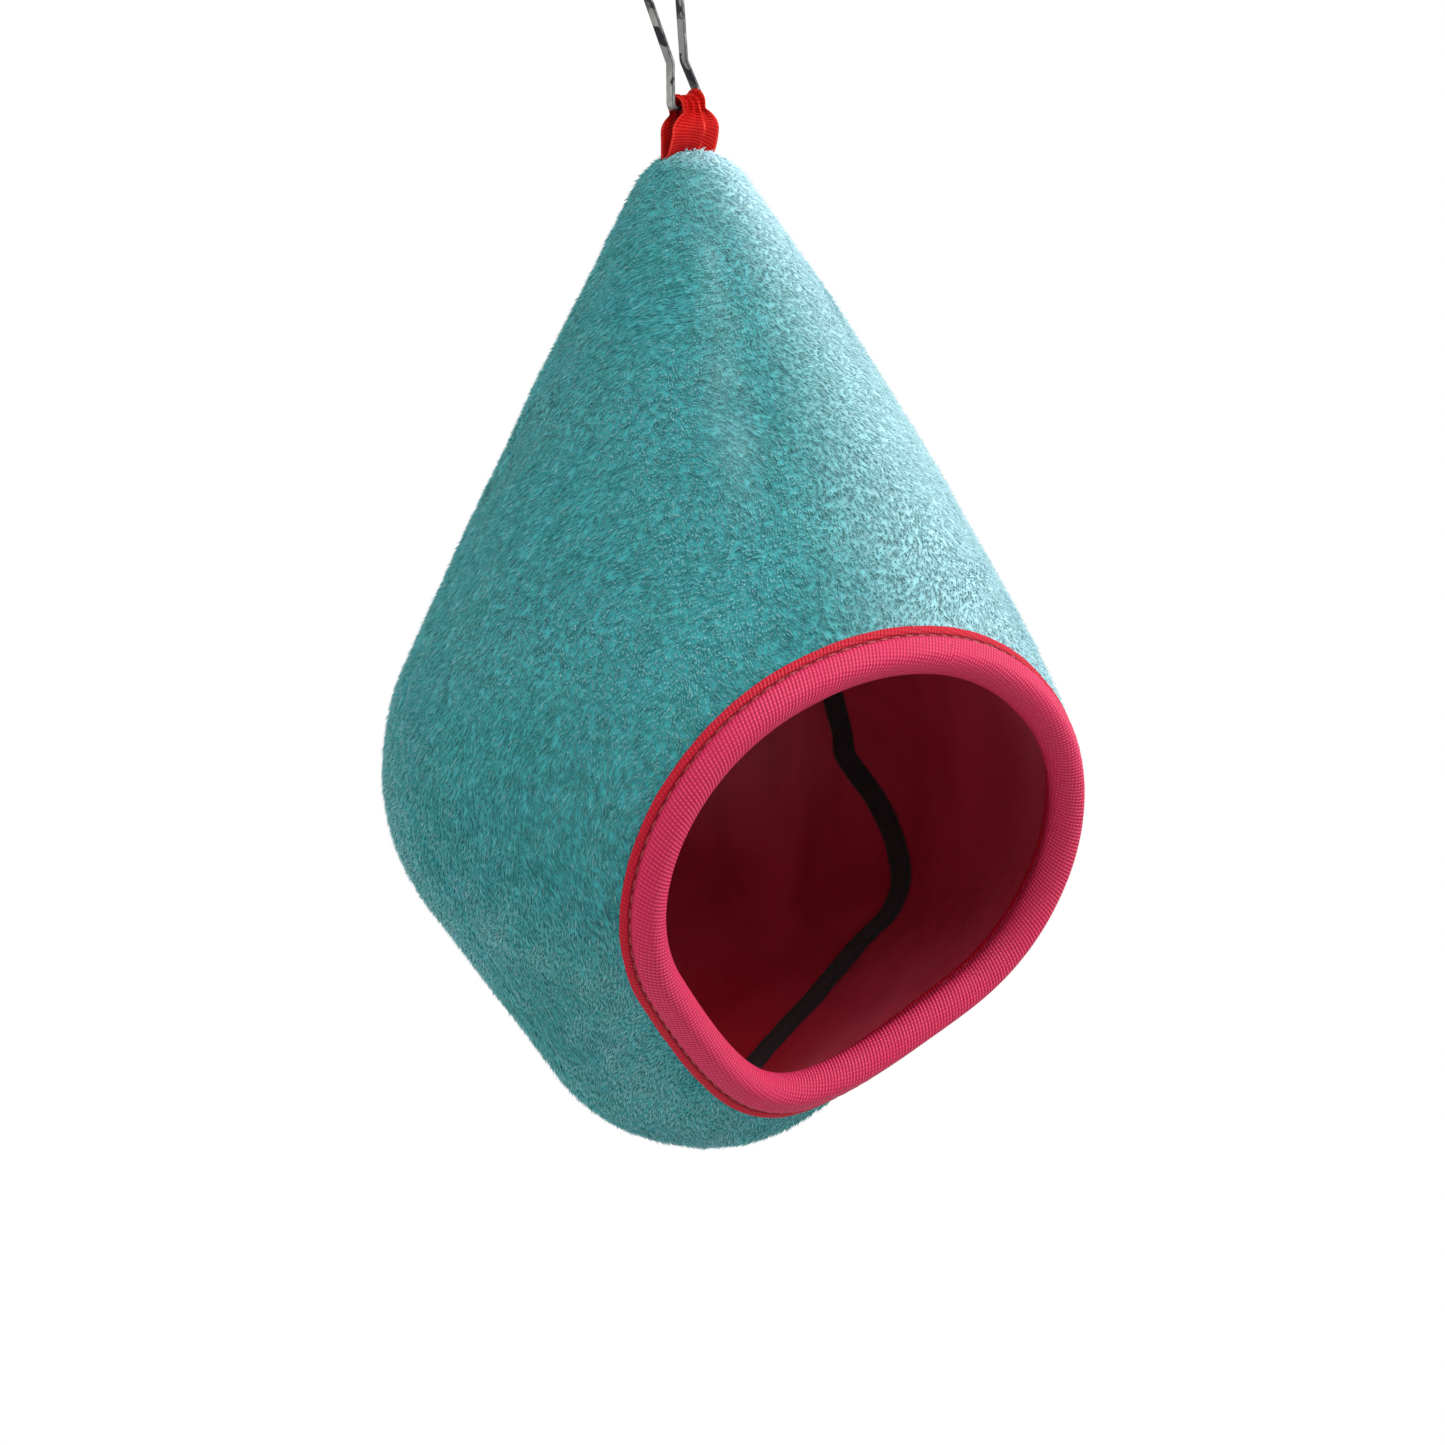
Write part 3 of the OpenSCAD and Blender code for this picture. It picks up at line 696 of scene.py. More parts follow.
# Mouth tape: its section, as [ahead of the wall's edge, height over the wall]
TAPE_IN = WALL_T / 2 - RIM_PINCH + TAPE_GAP
FOLD_OUT = FOLD_ROOM + TAPE_BAND_T - 0.4
LEG_HEIGHTS = [
    (-4.80, 0.10), (-4.74, 0.34), (-4.58, 0.47), (-4.2, 0.50), (-3.75, 0.48),
    (-3.42, 0.38), (-3.22, 0.20), (-3.0, 0.15), (-2.82, 0.30), (-2.62, 0.66),
    (-2.34, 0.94), (-1.9, 1.08), (-1.3, 1.13), (-0.6, 1.12), (0.0, 1.10),
]


def tape_outside():
    """Outer contour of the tape's section, from one free edge over the fold to the other."""
    leg = [(x, TAPE_IN + h) for x, h in LEG_HEIGHTS]
    fold = [
        (FOLD_OUT * math.cos(a), (TAPE_IN + TAPE_BAND_T) * math.sin(a))
        for a in np.radians(np.linspace(90, -90, 21)[1:-1])
    ]
    inner = [(x, -TAPE_IN - h * (1 - 0.35 * min(1.0, -x / 1.5))) for x, h in reversed(LEG_HEIGHTS)]
    return np.array(leg + fold + inner)


def leant(p):
    """A section of the tape with its legs laid along the wall, which swells behind the edge."""
    slope = TAPE_LEAN - np.sign(p[..., 1]) * TAPE_SPREAD
    return np.stack([p[..., 0], p[..., 1] + np.minimum(0, p[..., 0]) * slope], -1)


TAPE_LINE = tape_outside()
TAPE_RUN = np.concatenate([[0], np.cumsum(np.linalg.norm(np.diff(TAPE_LINE, axis=0), axis=1))])
TAPE_V = float(TAPE_RUN[-1])


def rim_frames():
    """Along, ahead and out of the wall at each step of the rim."""
    along = unit(np.roll(rim_mid, -1, 0) - np.roll(rim_mid, 1, 0))
    ahead = unit(np.cross(along, rim_outer - rim_inner))
    return along, ahead, np.cross(ahead, along)


def mouth_binding(finish):
    along, ahead, out = rim_frames()
    run = np.arange(RIM_STEPS) * RIM_L / RIM_STEPS
    # The stitches draw the band in a little at each hole
    holes = 0.5 - 0.5 * np.cos(2 * math.pi * run / STITCH)
    uneven = noisy(rim_mid, 9.0, 3.0)
    section_out = np.repeat(TAPE_LINE[None], RIM_STEPS, 0)
    h = np.abs(section_out[..., 1]) - TAPE_IN
    near_groove = np.exp(-(((section_out[..., 0] + 2.6) / 0.7) ** 2))
    gain = 1 + near_groove * (0.16 * holes[:, None] - 0.08) + 0.05 * uneven[:, None]
    free_edge = np.exp(-((section_out[..., 0] + TAPE_REACH) ** 2) / 0.8)
    section_out[..., 1] = np.sign(section_out[..., 1]) * (TAPE_IN + h * gain)
    section_out[..., 0] += free_edge * 0.12 * noisy(rim_mid, 4.0, 9.0)[:, None] * (section_out[..., 0] < -3)
    arc = np.radians(np.linspace(-90, 90, 13)[1:-1])
    inside = [(-TAPE_REACH, -TAPE_IN), (-3.4, -TAPE_IN), (-2.0, -TAPE_IN), (0, -TAPE_IN)]
    inside += [(FOLD_ROOM * math.cos(a), TAPE_IN * math.sin(a)) for a in arc]
    inside += [(0, TAPE_IN), (-2.0, TAPE_IN), (-3.4, TAPE_IN), (-TAPE_REACH, TAPE_IN)]
    section_in = np.repeat(np.array(inside)[None], RIM_STEPS, 0)
    section = leant(np.concatenate([section_out, section_in], 1))
    points = rim_mid[:, None] + section[..., :1] * ahead[:, None] + section[..., 1:] * out[:, None]
    rows, n = section.shape[:2]
    v_in = TAPE_V * (1 - np.linspace(0, 1, len(inside)))
    v = np.concatenate([TAPE_RUN, v_in])
    faces, uv = [], []
    for i in range(rows):
        k = (i + 1) % rows
        for j in range(n):
            m = (j + 1) % n
            faces.append([i * n + j, i * n + m, k * n + m, k * n + j])
            u0, u1 = i * RIM_L / rows, (i + 1) * RIM_L / rows
            v1 = v[m] if m else v[j]
            uv += [(u0, v[j]), (u0, v1), (u1, v1), (u1, v[j])]
    return new_piece("mouth_tape", points.reshape(-1, 3), faces, finish, uv)


def groove_line(side):
    """The line that the stitches follow, on the outside of the tape or on the inside."""
    _, ahead, out = rim_frames()
    p = leant(np.array([[GROOVE_X, side * (TAPE_IN + GROOVE_H)]]))[0]
    return rim_mid + p[0] * ahead + p[1] * out


class Pattern(Tree):
    """A Geometry Nodes tree that is being built."""

    def __init__(self, name, sizes):
        tree = bpy.data.node_groups.new(name, "GeometryNodeTree")
        super().__init__(tree)
        tree.is_modifier = True
        face = tree.interface
        face.new_socket("Geometry", in_out="INPUT", socket_type="NodeSocketGeometry")
        self.ids = {}
        for key, value in sizes.items():
            kind = "NodeSocketInt" if isinstance(value, int) else "NodeSocketFloat"
            socket = face.new_socket(key, in_out="INPUT", socket_type=kind)
            socket.default_value = value
            self.ids[key] = (socket.identifier, value)
        face.new_socket("Geometry", in_out="OUTPUT", socket_type="NodeSocketGeometry")
        self.inputs = self.node("NodeGroupInput")

    def size(self, name):
        return self.inputs.other(name)

    def vector(self, operation, *values, out=0):
        return self.node("ShaderNodeVectorMath", {"operation": operation}, dict(enumerate(values)), out)

    def scaled(self, vector, share):
        return self.node("ShaderNodeVectorMath", {"operation": "SCALE"}, {0: vector, "Scale": share})

    def random(self, low, high, seed, kind="FLOAT"):
        names = {"FLOAT": ("Min_001", "Max_001"), "FLOAT_VECTOR": ("Min", "Max")}[kind]
        out = {"FLOAT": 1, "FLOAT_VECTOR": 0}[kind]
        sockets = {names[0]: low, names[1]: high, "Seed": seed}
        return self.node("FunctionNodeRandomValue", {"data_type": kind}, sockets, out)

    def named(self, name, kind="FLOAT"):
        return self.node("GeometryNodeInputNamedAttribute", {"data_type": kind}, {"Name": name})

    def keep(self, geometry, name, value, domain):
        settings = {"data_type": "FLOAT", "domain": domain}
        sockets = {0: geometry, "Name": name, "Value": value}
        return self.node("GeometryNodeStoreNamedAttribute", settings, sockets)

    def aimed(self, axis, vector, rotation=None, pivot=None):
        settings = {"axis": axis, **({"pivot_axis": pivot} if pivot else {})}
        sockets = {"Vector": vector, **({"Rotation": rotation} if rotation else {})}
        return self.node("FunctionNodeAlignRotationToVector", settings, sockets)

    def finish(self, instances, material):
        real = self.node("GeometryNodeRealizeInstances", None, {0: instances})
        smooth = self.node("GeometryNodeSetShadeSmooth", None, {0: real})
        dressed = self.node("GeometryNodeSetMaterial", None, {0: smooth, "Material": material})
        self.node("NodeGroupOutput", None, {0: dressed})

    def grow(self, name, source):
        """A plain mesh piece of what this tree makes on a source object, which is then removed."""
        live = source.modifiers.new("pattern", "NODES")
        live.node_group = self.tree
        for identifier, value in self.ids.values():
            live[identifier] = value
        depsgraph = bpy.context.evaluated_depsgraph_get()
        mesh = bpy.data.meshes.new_from_object(source.evaluated_get(depsgraph), depsgraph=depsgraph)
        bpy.data.objects.remove(source)
        mesh.name = name
        piece = bpy.data.objects.new(name, mesh)
        bpy.context.scene.collection.objects.link(piece)
        return piece


def pile_pattern(name, density, seed, material):
    """Slender closed tufts that lean with the nap. tone differs by tuft, and tip from root to end."""
    t = Pattern(name, {"Density": density, "Length": 0.0013, "Width": 0.00014, "Lean": 2.0, "Seed": seed})
    cover = t.named("cover") * t.size("Density")
    spread = t.node(
        "GeometryNodeDistributePointsOnFaces",
        {"distribute_method": "RANDOM"},
        {"Mesh": t.inputs, "Density": cover, "Seed": t.size("Seed")},
        out="Points",
    )
    normal = spread.other("Normal")
    stray = t.random((-0.45, -0.45, -0.45), (0.45, 0.45, 0.45), 11, "FLOAT_VECTOR")
    lay = t.vector("ADD", t.scaled(t.named("nap", "FLOAT_VECTOR"), t.size("Lean")), stray)
    aim = t.vector("NORMALIZE", t.vector("ADD", normal, lay))
    turned = t.aimed("X", normal, t.aimed("Z", aim), "Z")
    spike = t.node(
        "GeometryNodeMeshCone",
        {"fill_type": "NGON"},
        {
            "Vertices": 3,
            "Side Segments": 1,
            "Radius Top": 0.0,
            "Radius Bottom": t.size("Width"),
            "Depth": t.size("Length"),
        },
        out="Mesh",
    )
    height = t.node("ShaderNodeSeparateXYZ", None, {0: t.node("GeometryNodeInputPosition")}, out=2)
    tipped = t.keep(spike, "tip", height / t.size("Length"), "POINT")
    broad, tall = t.random(0.7, 1.5, 5), t.random(0.6, 1.25, 7)
    sizes = t.node("ShaderNodeCombineXYZ", None, {0: 0.8, 1: broad, 2: tall})
    tufts = t.node(
        "GeometryNodeInstanceOnPoints",
        None,
        {"Points": spread, "Instance": tipped, "Rotation": turned, "Scale": sizes},
    )
    t.finish(t.keep(tufts, "tone", t.random(0.0, 1.0, 3), "INSTANCE"), material)
    return t


def stitch_pattern(material, count):
    t = Pattern("stitches", {"Count": count, "Half_length": 0.00085, "Thickness": 0.00016})
    line = t.node("GeometryNodeMeshToCurve", None, {0: t.inputs})
    even = t.node("GeometryNodeResampleCurve", {"mode": "COUNT"}, {0: line, "Count": t.size("Count")})
    ball = t.node("GeometryNodeMeshUVSphere", None, {"Segments": 8, "Rings": 6, "Radius": 1.0})
    thick = t.size("Thickness")
    sizes = t.node("ShaderNodeCombineXYZ", None, {0: thick, 1: thick, 2: t.size("Half_length")})
    laid = t.aimed("Z", t.node("GeometryNodeInputTangent"))
    sockets = {"Points": even, "Instance": ball, "Rotation": laid, "Scale": sizes}
    placed = t.node("GeometryNodeInstanceOnPoints", None, sockets)
    t.finish(placed, material)
    return t


def seam_dent(s, angle):
    """How far the plush sinks at a seam, in mm."""
    return SEAM_DENT * np.exp(-(((np.abs(angle) - seam_at(s)) / SEAM_DENT_W) ** 2))


def plush_outside(s, a):
    """The plush's outer face: soft lumps, a dent along each seam, and pressed flat under the mouth's tape."""
    base = wall(s, a, 0.0)
    free = smooth_step(rim_distance(base), 5.0, 12.0) * smooth_step(s, 0.4, 1.2)
    lumps = 0.32 * noisy(base, 17.0, 1.0) + 0.16 * noisy(base, 7.0, 2.0)
    return pinched(s, a, -free * lumps + free * seam_dent(s, a))


def depth(inset):
    return lambda s, a: pinched(s, a, inset)


# Painted highlight: the pile is painted paler on the side that faces the key light, and along one parting of
# the nap, which is partly a real parting and partly painted highlight
LIT_FROM = np.array([0.72, -0.55, 0.42])
PARTING = (-142.0, 7.0)


def painted_highlight(s, a):
    """How pale the pile is painted, from 0 to 1, by which way its wall faces: a painted highlight towards the
    key light, wider at the apex, and a lighter parting streak.
    """
    outward = unit(wall(s, a, 0.0) - wall(s, a, 1.0))
    side_on = outward @ unit(LIT_FROM)
    at_apex = 1 - smooth_step(s, 0.6, 1.3)
    # Painted highlight where the wall faces the key light, and near the apex
    lit_side = smooth_step(side_on, 0.26, 0.98) + 0.8 * smooth_step(side_on, -0.3, 0.6) * at_apex
    middle, width = PARTING
    on_slope = smooth_step(s, 1.08, 1.2) * (1 - smooth_step(s, 1.55, 1.8))
    parting = np.exp(-(((a - middle) / width) ** 2)) * on_slope
    streaks = 0.5 + 0.5 * noisy(wall(s, a) * np.array([1, 1, 0.4]), 5.0, 12.0)
    return np.clip(0.8 * lit_side + 0.25 * parting * streaks, 0, 1)


def lining_inside(s, a):
    """The lining's inner face, with faint drawn folds that run down from the mouth's top."""
    base = wall(s, a, WALL_T)
    free = smooth_step(rim_distance(wall(s, a, 0.0)), 6.0, 16.0) * smooth_step(s, 0.8, 1.6)
    beside_tape = smooth_step(np.abs(np.abs(a) - seam_at(s)), 2.5, 7.0)
    stretched = base * np.array([1.0, 1.0, 0.3])
    folds = np.maximum(0, noisy(stretched, 11.0, 5.0)) * 0.35 + 0.1
    return pinched(s, a, WALL_T + free * beside_tape * folds - 0.02)


def pile_source(name, patch):
    """The skin that a pile grows on, with where it grows and which way it lies."""
    s, a = patch
    flat_s, flat_a = s.ravel(), a.ravel()
    points = plush_outside(flat_s, flat_a)
    step = 0.004
    down = unit(wall(np.minimum(flat_s + step, 5.0), flat_a) - wall(np.maximum(flat_s - step, 0.0), flat_a))
    outward = unit(wall(flat_s, flat_a, 0.0) - wall(flat_s, flat_a, 1.0))
    down = unit(down - (down * outward).sum(-1, keepdims=True) * outward)
    sideways = np.cross(outward, down)
    swing = 1.1 * noisy(points, 26.0, 7.0) + 0.9 * noisy(points, 5.0, 8.0)
    nap = np.cos(swing)[:, None] * down + np.sin(swing)[:, None] * sideways
    cover = smooth_step(rim_distance(wall(flat_s, flat_a)), 4.6, 5.6)
    ribbon = np.abs(points - BAR_AT)
    under_ribbon = (ribbon[:, 0] < RIBBON_W / 2 + 0.2) & (ribbon[:, 1] < 1.3) & (flat_s < 1)
    cover = np.where(under_ribbon, 0.0, cover)
    faces = grid_faces(*s.shape, flip=a[0, -1] < 0)
    # pale is the painted highlight on the pile
    pale = painted_highlight(flat_s, flat_a)
    points, faces, cover, nap, pale = merged(points, faces, cover, nap, pale)
    return new_piece(name, points, faces, None, attributes={"cover": cover, "nap": nap, "pale": pale})


def seam_tape(name, side, finish):
    """Black tape over an inner seam. It wanders a little from side to side, as tape sewn by hand does."""
    steps = 220
    s = np.linspace(1.0, (LIP_STATION + 5) / 2, steps)
    centre = wall(s, seam_at(s), WALL_T)
    run = np.concatenate([[0], np.cumsum(np.linalg.norm(np.diff(centre, axis=0), axis=1))])
    wander = 0.55 * noisy(centre, 13.0, 20.0 + side) + 0.3 * noisy(centre, 5.0, 30.0 + side)
    radius = np.maximum(np.linalg.norm(ring(s, WALL_T)[1], axis=-1), 4.0)
    angle = seam_at(s) + np.degrees(wander / radius)
    laid = wall(s, angle, WALL_T + SEAM_TAPE_GAP)
    deeper = wall(s, angle, WALL_T + SEAM_TAPE_GAP + 1)
    along = unit(np.gradient(laid, axis=0))
    inward = unit(deeper - laid)
    across = unit(np.cross(along, inward))
    x = np.linspace(-1, 1, 13)
    top = 0.62 * (1 - np.abs(x) ** 5) + 0.22 * np.exp(-(((np.abs(x) - 0.72) / 0.16) ** 2))
    half = SEAM_TAPE_W / 2 * (1 + 0.07 * noisy(centre, 3.0, 40.0 + side))
    width = np.concatenate([x, x[::-1]])
    height = np.concatenate([np.zeros(13) + 0.02, np.maximum(top, 0.1)[::-1]]) * SEAM_TAPE_T / 0.84
    sideways = (half[:, None] * width)[..., None] * across[:, None]
    points = laid[:, None] + sideways + height[None, :, None] * inward[:, None]
    n = len(width)
    if side < 0:
        points[..., 0] = 2 * APEX_AT[0] - points[..., 0]
    faces, uv = [], []
    v = np.concatenate([x + 1, 2 + 1 - x[::-1]]) * SEAM_TAPE_W / 2
    for i in range(steps - 1):
        for j in range(n):
            m = (j + 1) % n
            quad = [i * n + j, i * n + m, (i + 1) * n + m, (i + 1) * n + j]
            v1 = v[m] if m else v[j]
            corner = [(run[i], v[j]), (run[i], v1), (run[i + 1], v1), (run[i + 1], v[j])]
            faces.append(quad if side > 0 else quad[::-1])
            uv += corner if side > 0 else corner[::-1]
    for ring_at, end in ((0, 1), (steps - 1, -1)):
        cap = [ring_at * n + j for j in range(n)]
        cap = cap[:: -end * side]
        faces.append(cap)
        uv += [(run[ring_at], v[j]) for j in range(n)]
    return new_piece(name, points.reshape(-1, 3), faces, finish, uv)


def ribbon_stations():
    """[y, height over the bar, width, thickness, share of the clip's lean] along the ribbon."""
    rows = []
    up = np.linspace(0, 1, 22)
    for f in up:
        y = FOOT_GAP / 2 + (OVER_R - FOOT_GAP / 2) * f
        z = -LOOP_H + (LOOP_H - SWELL_H) * f
        width = RIBBON_W + (RIBBON_BELLY_W - RIBBON_W) * math.sin(math.radians(120) * f)
        rows.append((-y, z, width, RIBBON_T, 0.8 * f))
    last_w = rows[-1][2]
    for f in np.linspace(0, 1, 16)[1:]:
        z = SWELL_H * (f - 1)
        below = max(0.0, -z - CLEAR_OF_LEGS) / (SWELL_H - CLEAR_OF_LEGS)
        swell = math.sin(math.pi / 2 * min(1.0, below)) ** 0.75
        width = RIBBON_GATHER_W + (last_w - RIBBON_GATHER_W) * swell
        rows.append((-OVER_R, z, width, RIBBON_T + (GATHER_T - RIBBON_T) * f, 0.8 + 0.2 * f))
    for a in np.radians(np.linspace(180, 90, 9)[1:]):
        rows.append((OVER_R * math.cos(a), OVER_R * math.sin(a), RIBBON_GATHER_W, GATHER_T, 1.0))
    back = [(-y, z, w, t, k) for y, z, w, t, k in rows[-2::-1]]
    return np.array(rows + back)


def ribbon_loop(finish):
    """The ribbon: flat where it leaves the plush, in soft pleats where it is gathered over the bar."""
    path = ribbon_stations()
    count, across = len(path), 41
    w = np.linspace(-0.5, 0.5, across)
    along = unit(np.gradient(path[:, :2], axis=0))
    out = np.stack([-along[:, 1], along[:, 0]], -1)
    gathered = np.clip((RIBBON_BELLY_W - path[:, 2]) / (RIBBON_BELLY_W - RIBBON_GATHER_W), 0, 1)
    run = np.concatenate([[0], np.cumsum(np.linalg.norm(np.diff(path[:, :2], axis=0), axis=1))])
    ends = np.clip(np.minimum(run, run[-1] - run) / 1.5, 0, 1)
    wave = 0.5 - 0.5 * np.cos(2 * math.pi * (w[None] * 3.4 + 0.25 * np.sin(run[:, None] * 0.5)))
    crown = 0.5 * (1 - (2 * w[None]) ** 2)
    lift = ends[:, None] * (gathered[:, None] * 0.55 * wave + 0.35 * crown + 0.12 * wave)
    over_bar = smooth_step(path[:, 1], -0.4, OVER_R)[:, None]
    lift = lift + over_bar * (0.9 * np.abs(2 * w[None]) ** 2.5 - 0.2)
    skin = 0.16
    layers = []
    for shift in (lift, lift + (skin + (path[:, 3:4] - 0.5) * 0.3)):
        y = path[:, 0:1] + out[:, 0:1] * shift
        z = path[:, 1:2] + out[:, 1:2] * shift
        x = w[None] * path[:, 2:3]
        k = np.radians(CLIP_LEAN) * path[:, 4:5]
        px = x * np.cos(k) - z * np.sin(k)
        pz = x * np.sin(k) + z * np.cos(k)
        foot = np.sqrt(np.maximum(0, APEX_R**2 - (x - LOOP_SHIFT) ** 2 - y * y)) - APEX_R + FOOT_PLAY - LOOP_H
        near_foot = 1 - np.clip(np.minimum(run, run[-1] - run) / 5.0, 0, 1)[:, None]
        pz = pz + near_foot * (foot + LOOP_H)
        layers.append(np.stack([px, y + 0 * x, pz], -1))
    inner, outer = layers
    n = across
    points = np.concatenate([inner.reshape(-1, 3), outer.reshape(-1, 3)]) + BAR_AT
    total = count * n
    faces, uv = [], []

    def add(face, corner):
        faces.append(face)
        uv.extend(corner)

    for i in range(count - 1):
        for j in range(n - 1):
            a, b, c, d = i * n + j, i * n + j + 1, (i + 1) * n + j + 1, (i + 1) * n + j
            ua, ub = (w[j] + 0.5) * RIBBON_W, (w[j + 1] + 0.5) * RIBBON_W
            corner = [(ua, run[i]), (ub, run[i]), (ub, run[i + 1]), (ua, run[i + 1])]
            add([total + a, total + b, total + c, total + d], corner)
            add([d, c, b, a], corner[::-1])
    for i in range(count - 1):
        for j, way in ((0, 1), (n - 1, -1)):
            a, d = i * n + j, (i + 1) * n + j
            side = [a, total + a, total + d, d]
            u = 0.0 if j == 0 else RIBBON_W
            corner = [(u, run[i]), (u, run[i]), (u, run[i + 1]), (u, run[i + 1])]
            add(side[::way], corner[::way])
    for i, way in ((0, -1), (count - 1, 1)):
        for j in range(n - 1):
            a, b = i * n + j, i * n + j + 1
            end = [a, total + a, total + b, b]
            ua, ub = (w[j] + 0.5) * RIBBON_W, (w[j + 1] + 0.5) * RIBBON_W
            corner = [(ua, run[i]), (ua, run[i]), (ub, run[i]), (ub, run[i])]
            add(end[::way], corner[::way])
    return new_piece("ribbon", points, faces, finish, uv)


def strip_line():
    """Middle line of the clip's strip in its own plane, as [across, up, heading]."""
    corner, neck = 90 + EYE_LEAN, EYE_LEAN + LEG_SPREAD
    corner_l = CORNER_R * math.tan(math.radians(corner / 2))
    neck_l = NECK_R * math.tan(math.radians(neck / 2))
    bar_l = EYE_W / 2 - corner_l - END_SLIT / 2
    lower_l = EYE_H / math.cos(math.radians(EYE_LEAN)) - corner_l - neck_l
    upper_l = (HOOK_CENTRE - EYE_H) * math.cos(SPREAD) - NECK_W / 2 * math.sin(SPREAD) - neck_l
    moves = [(0, bar_l, 4), (corner, CORNER_R, 14), (0, lower_l, 8), (-neck, NECK_R, 8), (0, upper_l, 18)]
    moves.append((90 + LEG_SPREAD, HOOK_R, 26))
    at, heading = np.array([END_SLIT / 2, 0.0]), 0.0
    line = [(*at, heading)]
    for angle, size, steps in moves:
        for _ in range(steps):
            h = math.radians(heading)
            if angle == 0:
                at = at + size / steps * np.array([math.cos(h), math.sin(h)])
            else:
                k = math.radians(heading + angle / steps)
                way = math.copysign(size, angle)
                at = at + way * np.array([math.sin(k) - math.sin(h), math.cos(h) - math.cos(k)])
                heading += angle / steps
            line.append((*at, heading))
    right = np.array(line)
    left = right[-2::-1] * [-1, 1, -1]
    return np.concatenate([right, left])


def rounded_section(width, thickness, radius, steps=4):
    """Section of the strip with its edges rolled round, as [across its width, outwards]."""
    points = []
    for cx, cy, start in ((1, 1, 0), (-1, 1, 90), (-1, -1, 180), (1, -1, 270)):
        for a in np.radians(start + np.linspace(0, 90, steps)):
            x = cx * (width / 2 - radius) + radius * math.cos(a)
            points.append((x, cy * (thickness / 2 - radius) + radius * math.sin(a)))
    return np.array(points)


def clip_strip(finish):
    line = strip_line()
    section = rounded_section(STRIP_W, STRIP_T, STRIP_EDGE_R)
    h = np.radians(line[:, 2])
    outward = np.stack([np.sin(h), -np.cos(h)], -1)
    n, count = len(section), len(line)
    points = []
    for (x, up, _), o in zip(line, outward):
        for across, out in section:
            flat = (x + out * o[0], up + out * o[1])
            px = flat[0] * math.cos(LEAN) - flat[1] * math.sin(LEAN)
            pz = flat[0] * math.sin(LEAN) + flat[1] * math.cos(LEAN)
            points.append((px, across, pz))
    points = np.array(points) + BAR_AT
    faces = [
        [i * n + j, (i + 1) * n + j, (i + 1) * n + (j + 1) % n, i * n + (j + 1) % n]
        for i in range(count - 1)
        for j in range(n)
    ]
    faces += [list(range(n)), [(count - 1) * n + j for j in reversed(range(n))]]
    edge = np.tile(np.abs(section[:, 0]) > STRIP_W / 2 - 0.15, count)
    return new_piece("clip_strip", points, faces, finish, attributes={"edge": edge})


ground, tufts = fleece_base(), fleece_pile()
front, behind = front_skin(), back_skin()

plush_front = shell("plush_front_panel", front, plush_outside, depth(PLUSH_T), ground)
plush_back = shell("plush_back_panel", behind, plush_outside, depth(PLUSH_T), ground)
foam_finish = foam()
padding_front = shell("padding_front_panel", front, depth(FOAM_OUT), depth(FOAM_IN), foam_finish)
padding_back = shell("padding_back_panel", behind, depth(FOAM_OUT), depth(FOAM_IN), foam_finish)
cloth = lining_cloth()
lining_front = shell("lining_front_panel", front, depth(LINING_OUT), lining_inside, cloth)
lining_back = shell("lining_back_panel", behind, depth(LINING_OUT), lining_inside, cloth)


def pile(name, density, seed, patch):
    """The tufts of one panel, or of one side of it."""
    return pile_pattern(name, density, seed, tufts).grow(name, pile_source(name + "_skin", patch))


pile_right = pile("pile_front_right", FRONT_TUFTS, 1, side_patch(side=1))
pile_left = pile("pile_front_left", FRONT_TUFTS, 2, side_patch(side=-1))
pile_behind = pile("pile_back", BACK_TUFTS, 3, back_patch())

tape = mouth_binding(binding_tape())
sewn = thread()
stitches = []
for side, name in ((1, "stitches_outside"), (-1, "stitches_inside")):
    line = groove_line(side)
    source = new_piece(name + "_line", line, [], None)
    source.data.edges.add(len(line))
    ends = [(i, (i + 1) % len(line)) for i in range(len(line))]
    source.data.edges.foreach_set("vertices", np.array(ends).ravel())
    stitches.append(stitch_pattern(sewn, round(RIM_L / STITCH)).grow(name, source))

black = woven_black()
seam_right = seam_tape("seam_tape_right", 1, black)
seam_left = seam_tape("seam_tape_left", -1, black)
ribbon = ribbon_loop(red_ribbon())
clip = clip_strip(bright_steel())

for piece, slot, node in (
    (plush_front, "plush", "plush_front"),
    (plush_back, "plush", "plush_back"),
    (padding_front, "padding", "padding_front"),
    (padding_back, "padding", "padding_back"),
    (lining_front, "lining", "lining_front"),
    (lining_back, "lining", "lining_back"),
    (tape, "mouth_tape", "mouth_binding"),
    (seam_right, "seam_tape", "seam_binding_right"),
    (seam_left, "seam_tape", "seam_binding_left"),
    (ribbon, "ribbon", "ribbon_loop"),
):
    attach(piece, "nest")
    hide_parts(node)
for piece in (pile_right, pile_left, pile_behind):
    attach(piece, "nest")
for piece in stitches:
    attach(piece, "nest")
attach(clip, "clip")
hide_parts("hanging_clip")

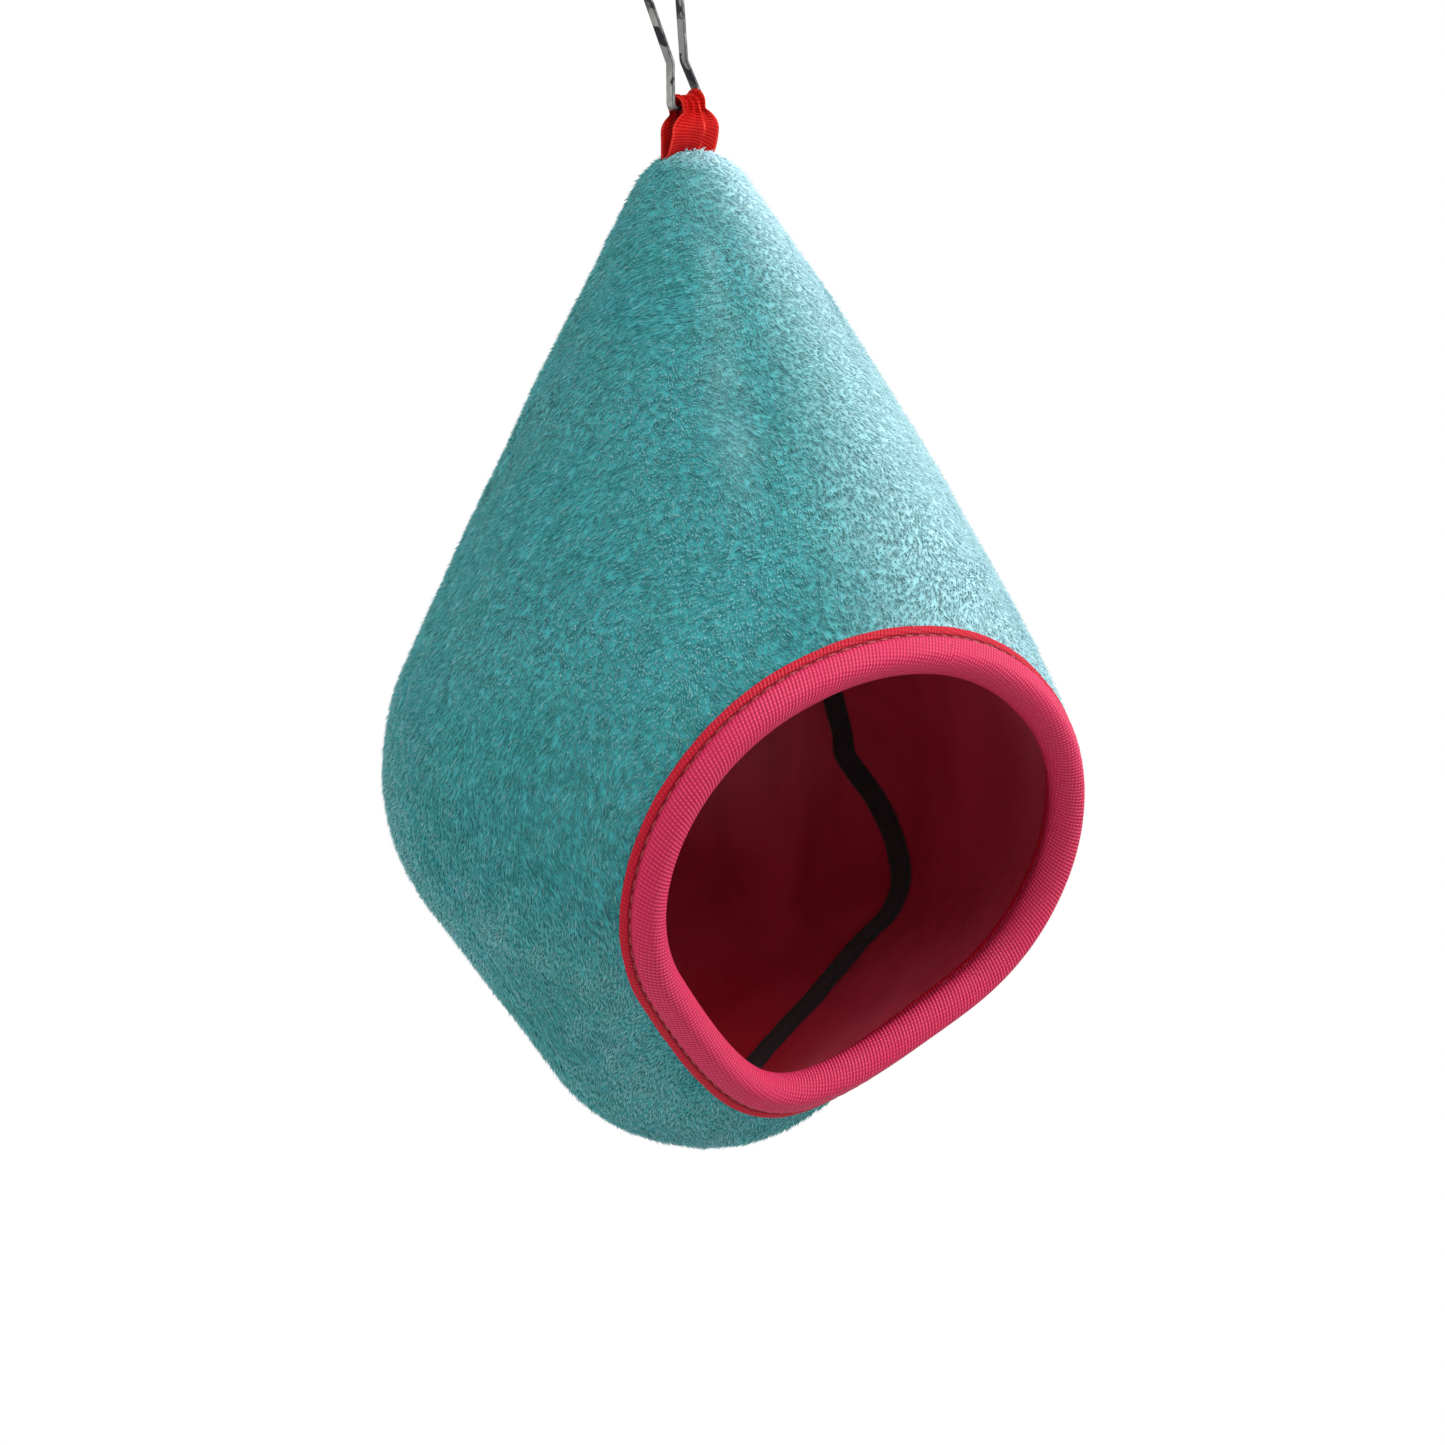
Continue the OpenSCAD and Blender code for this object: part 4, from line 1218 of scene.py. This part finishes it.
# Camera, as the photograph was taken
AZIMUTH, ELEVATION, DISTANCE = -43.0, -5.0, 0.8
PHOTO_SIDE, FOCAL, TARGET_AT = 1445, 4678, (731.5, 634.8)
azimuth, elevation = math.radians(AZIMUTH), math.radians(ELEVATION)
back_way = Vector(
    (math.sin(azimuth) * math.cos(elevation), -math.cos(azimuth) * math.cos(elevation), math.sin(elevation))
)
right_way = Vector((math.cos(azimuth), math.sin(azimuth), 0))
middle = Vector(DROP_MIDDLE * MM)
camera = bpy.data.objects.new("camera", bpy.data.cameras.new("camera"))
camera.data.sensor_width = 36
camera.data.lens = 36 * FOCAL / PHOTO_SIDE
camera.data.shift_x = (PHOTO_SIDE / 2 - TARGET_AT[0]) / PHOTO_SIDE
camera.data.shift_y = (TARGET_AT[1] - PHOTO_SIDE / 2) / PHOTO_SIDE
camera.data.clip_start, camera.data.clip_end = 0.05, 50
camera.location = middle + back_way * DISTANCE
camera.rotation_mode = "QUATERNION"
camera.rotation_quaternion = (-back_way).to_track_quat("-Z", "Y")
bpy.context.scene.collection.objects.link(camera)
bpy.context.scene.camera = camera


def lamp(name, way, distance, size, power, tint=(1, 1, 1)):
    light = bpy.data.lights.new(name, "AREA")
    light.shape, light.size, light.energy, light.color = "DISK", size, power, tint
    made = bpy.data.objects.new(name, light)
    made.location = middle + way.normalized() * distance
    made.rotation_mode = "QUATERNION"
    made.rotation_quaternion = way.to_track_quat("Z", "Y")
    made.visible_camera = False
    bpy.context.scene.collection.objects.link(made)


UP = Vector((0, 0, 1))
lamp("key", 1.0 * right_way + 0.1 * back_way + 0.55 * UP, 1.1, 0.7, 13.5)
lamp("front", 0.35 * right_way + 0.9 * back_way + 1.3 * UP, 1.2, 0.9, 7.8)
lamp("fill", -0.9 * right_way + 0.7 * back_way + 0.0 * UP, 1.2, 1.0, 5.2)


def white_to_camera(tree):
    """1 where a camera, mirror or glass ray sees it, as a share for a Mix Shader."""
    path = tree.node("ShaderNodeLightPath")
    seen = path.other("Is Camera Ray") + path.other("Is Glossy Ray") + path.other("Is Transmission Ray")
    return seen.clamped()


world = bpy.data.worlds.new("studio")
bpy.context.scene.world = world
world.use_nodes = True
sky = Tree(world.node_tree)
sky.tree.nodes.clear()
soft = sky.node("ShaderNodeBackground", None, {"Color": (1, 1, 1, 1), "Strength": 0.45})
white = sky.node("ShaderNodeBackground", None, {"Color": (1, 1, 1, 1), "Strength": 1.0})
chosen = sky.node("ShaderNodeMixShader", None, {0: white_to_camera(sky), 1: soft, 2: white})
sky.node("ShaderNodeOutputWorld", None, {0: chosen})

FLOOR_Z = -1.0
FLOOR_HALF = 6.0
floor_mesh = bpy.data.meshes.new("floor")
corners = [(x * FLOOR_HALF, y * FLOOR_HALF, FLOOR_Z) for x, y in ((-1, -1), (1, -1), (1, 1), (-1, 1))]
floor_mesh.from_pydata(corners, [], [(0, 1, 2, 3)])
floor = bpy.data.objects.new("floor", floor_mesh)
bpy.context.scene.collection.objects.link(floor)
pale = Finish("pale_floor", Roughness=0.9)
pale.shader.inputs["Base Color"].default_value = (0.86, 0.86, 0.86, 1)
glow = pale.node("ShaderNodeEmission", None, {"Color": (1, 1, 1, 1), "Strength": 1.0})
off = pale.node("ShaderNodeVectorMath", {"operation": "LENGTH"}, {0: pale.place()}, out=1)
share = white_to_camera(pale) * pale.between(off, 1.1, 2.0)
blank = pale.node("ShaderNodeMixShader", None, {0: share, 1: pale.wrap(pale.shader.outputs[0]), 2: glow})
pale.tree.links.new(blank.socket, pale.output.inputs["Surface"])
floor_mesh.materials.append(pale.material)

scene = bpy.context.scene
scene.view_settings.view_transform = "Standard"
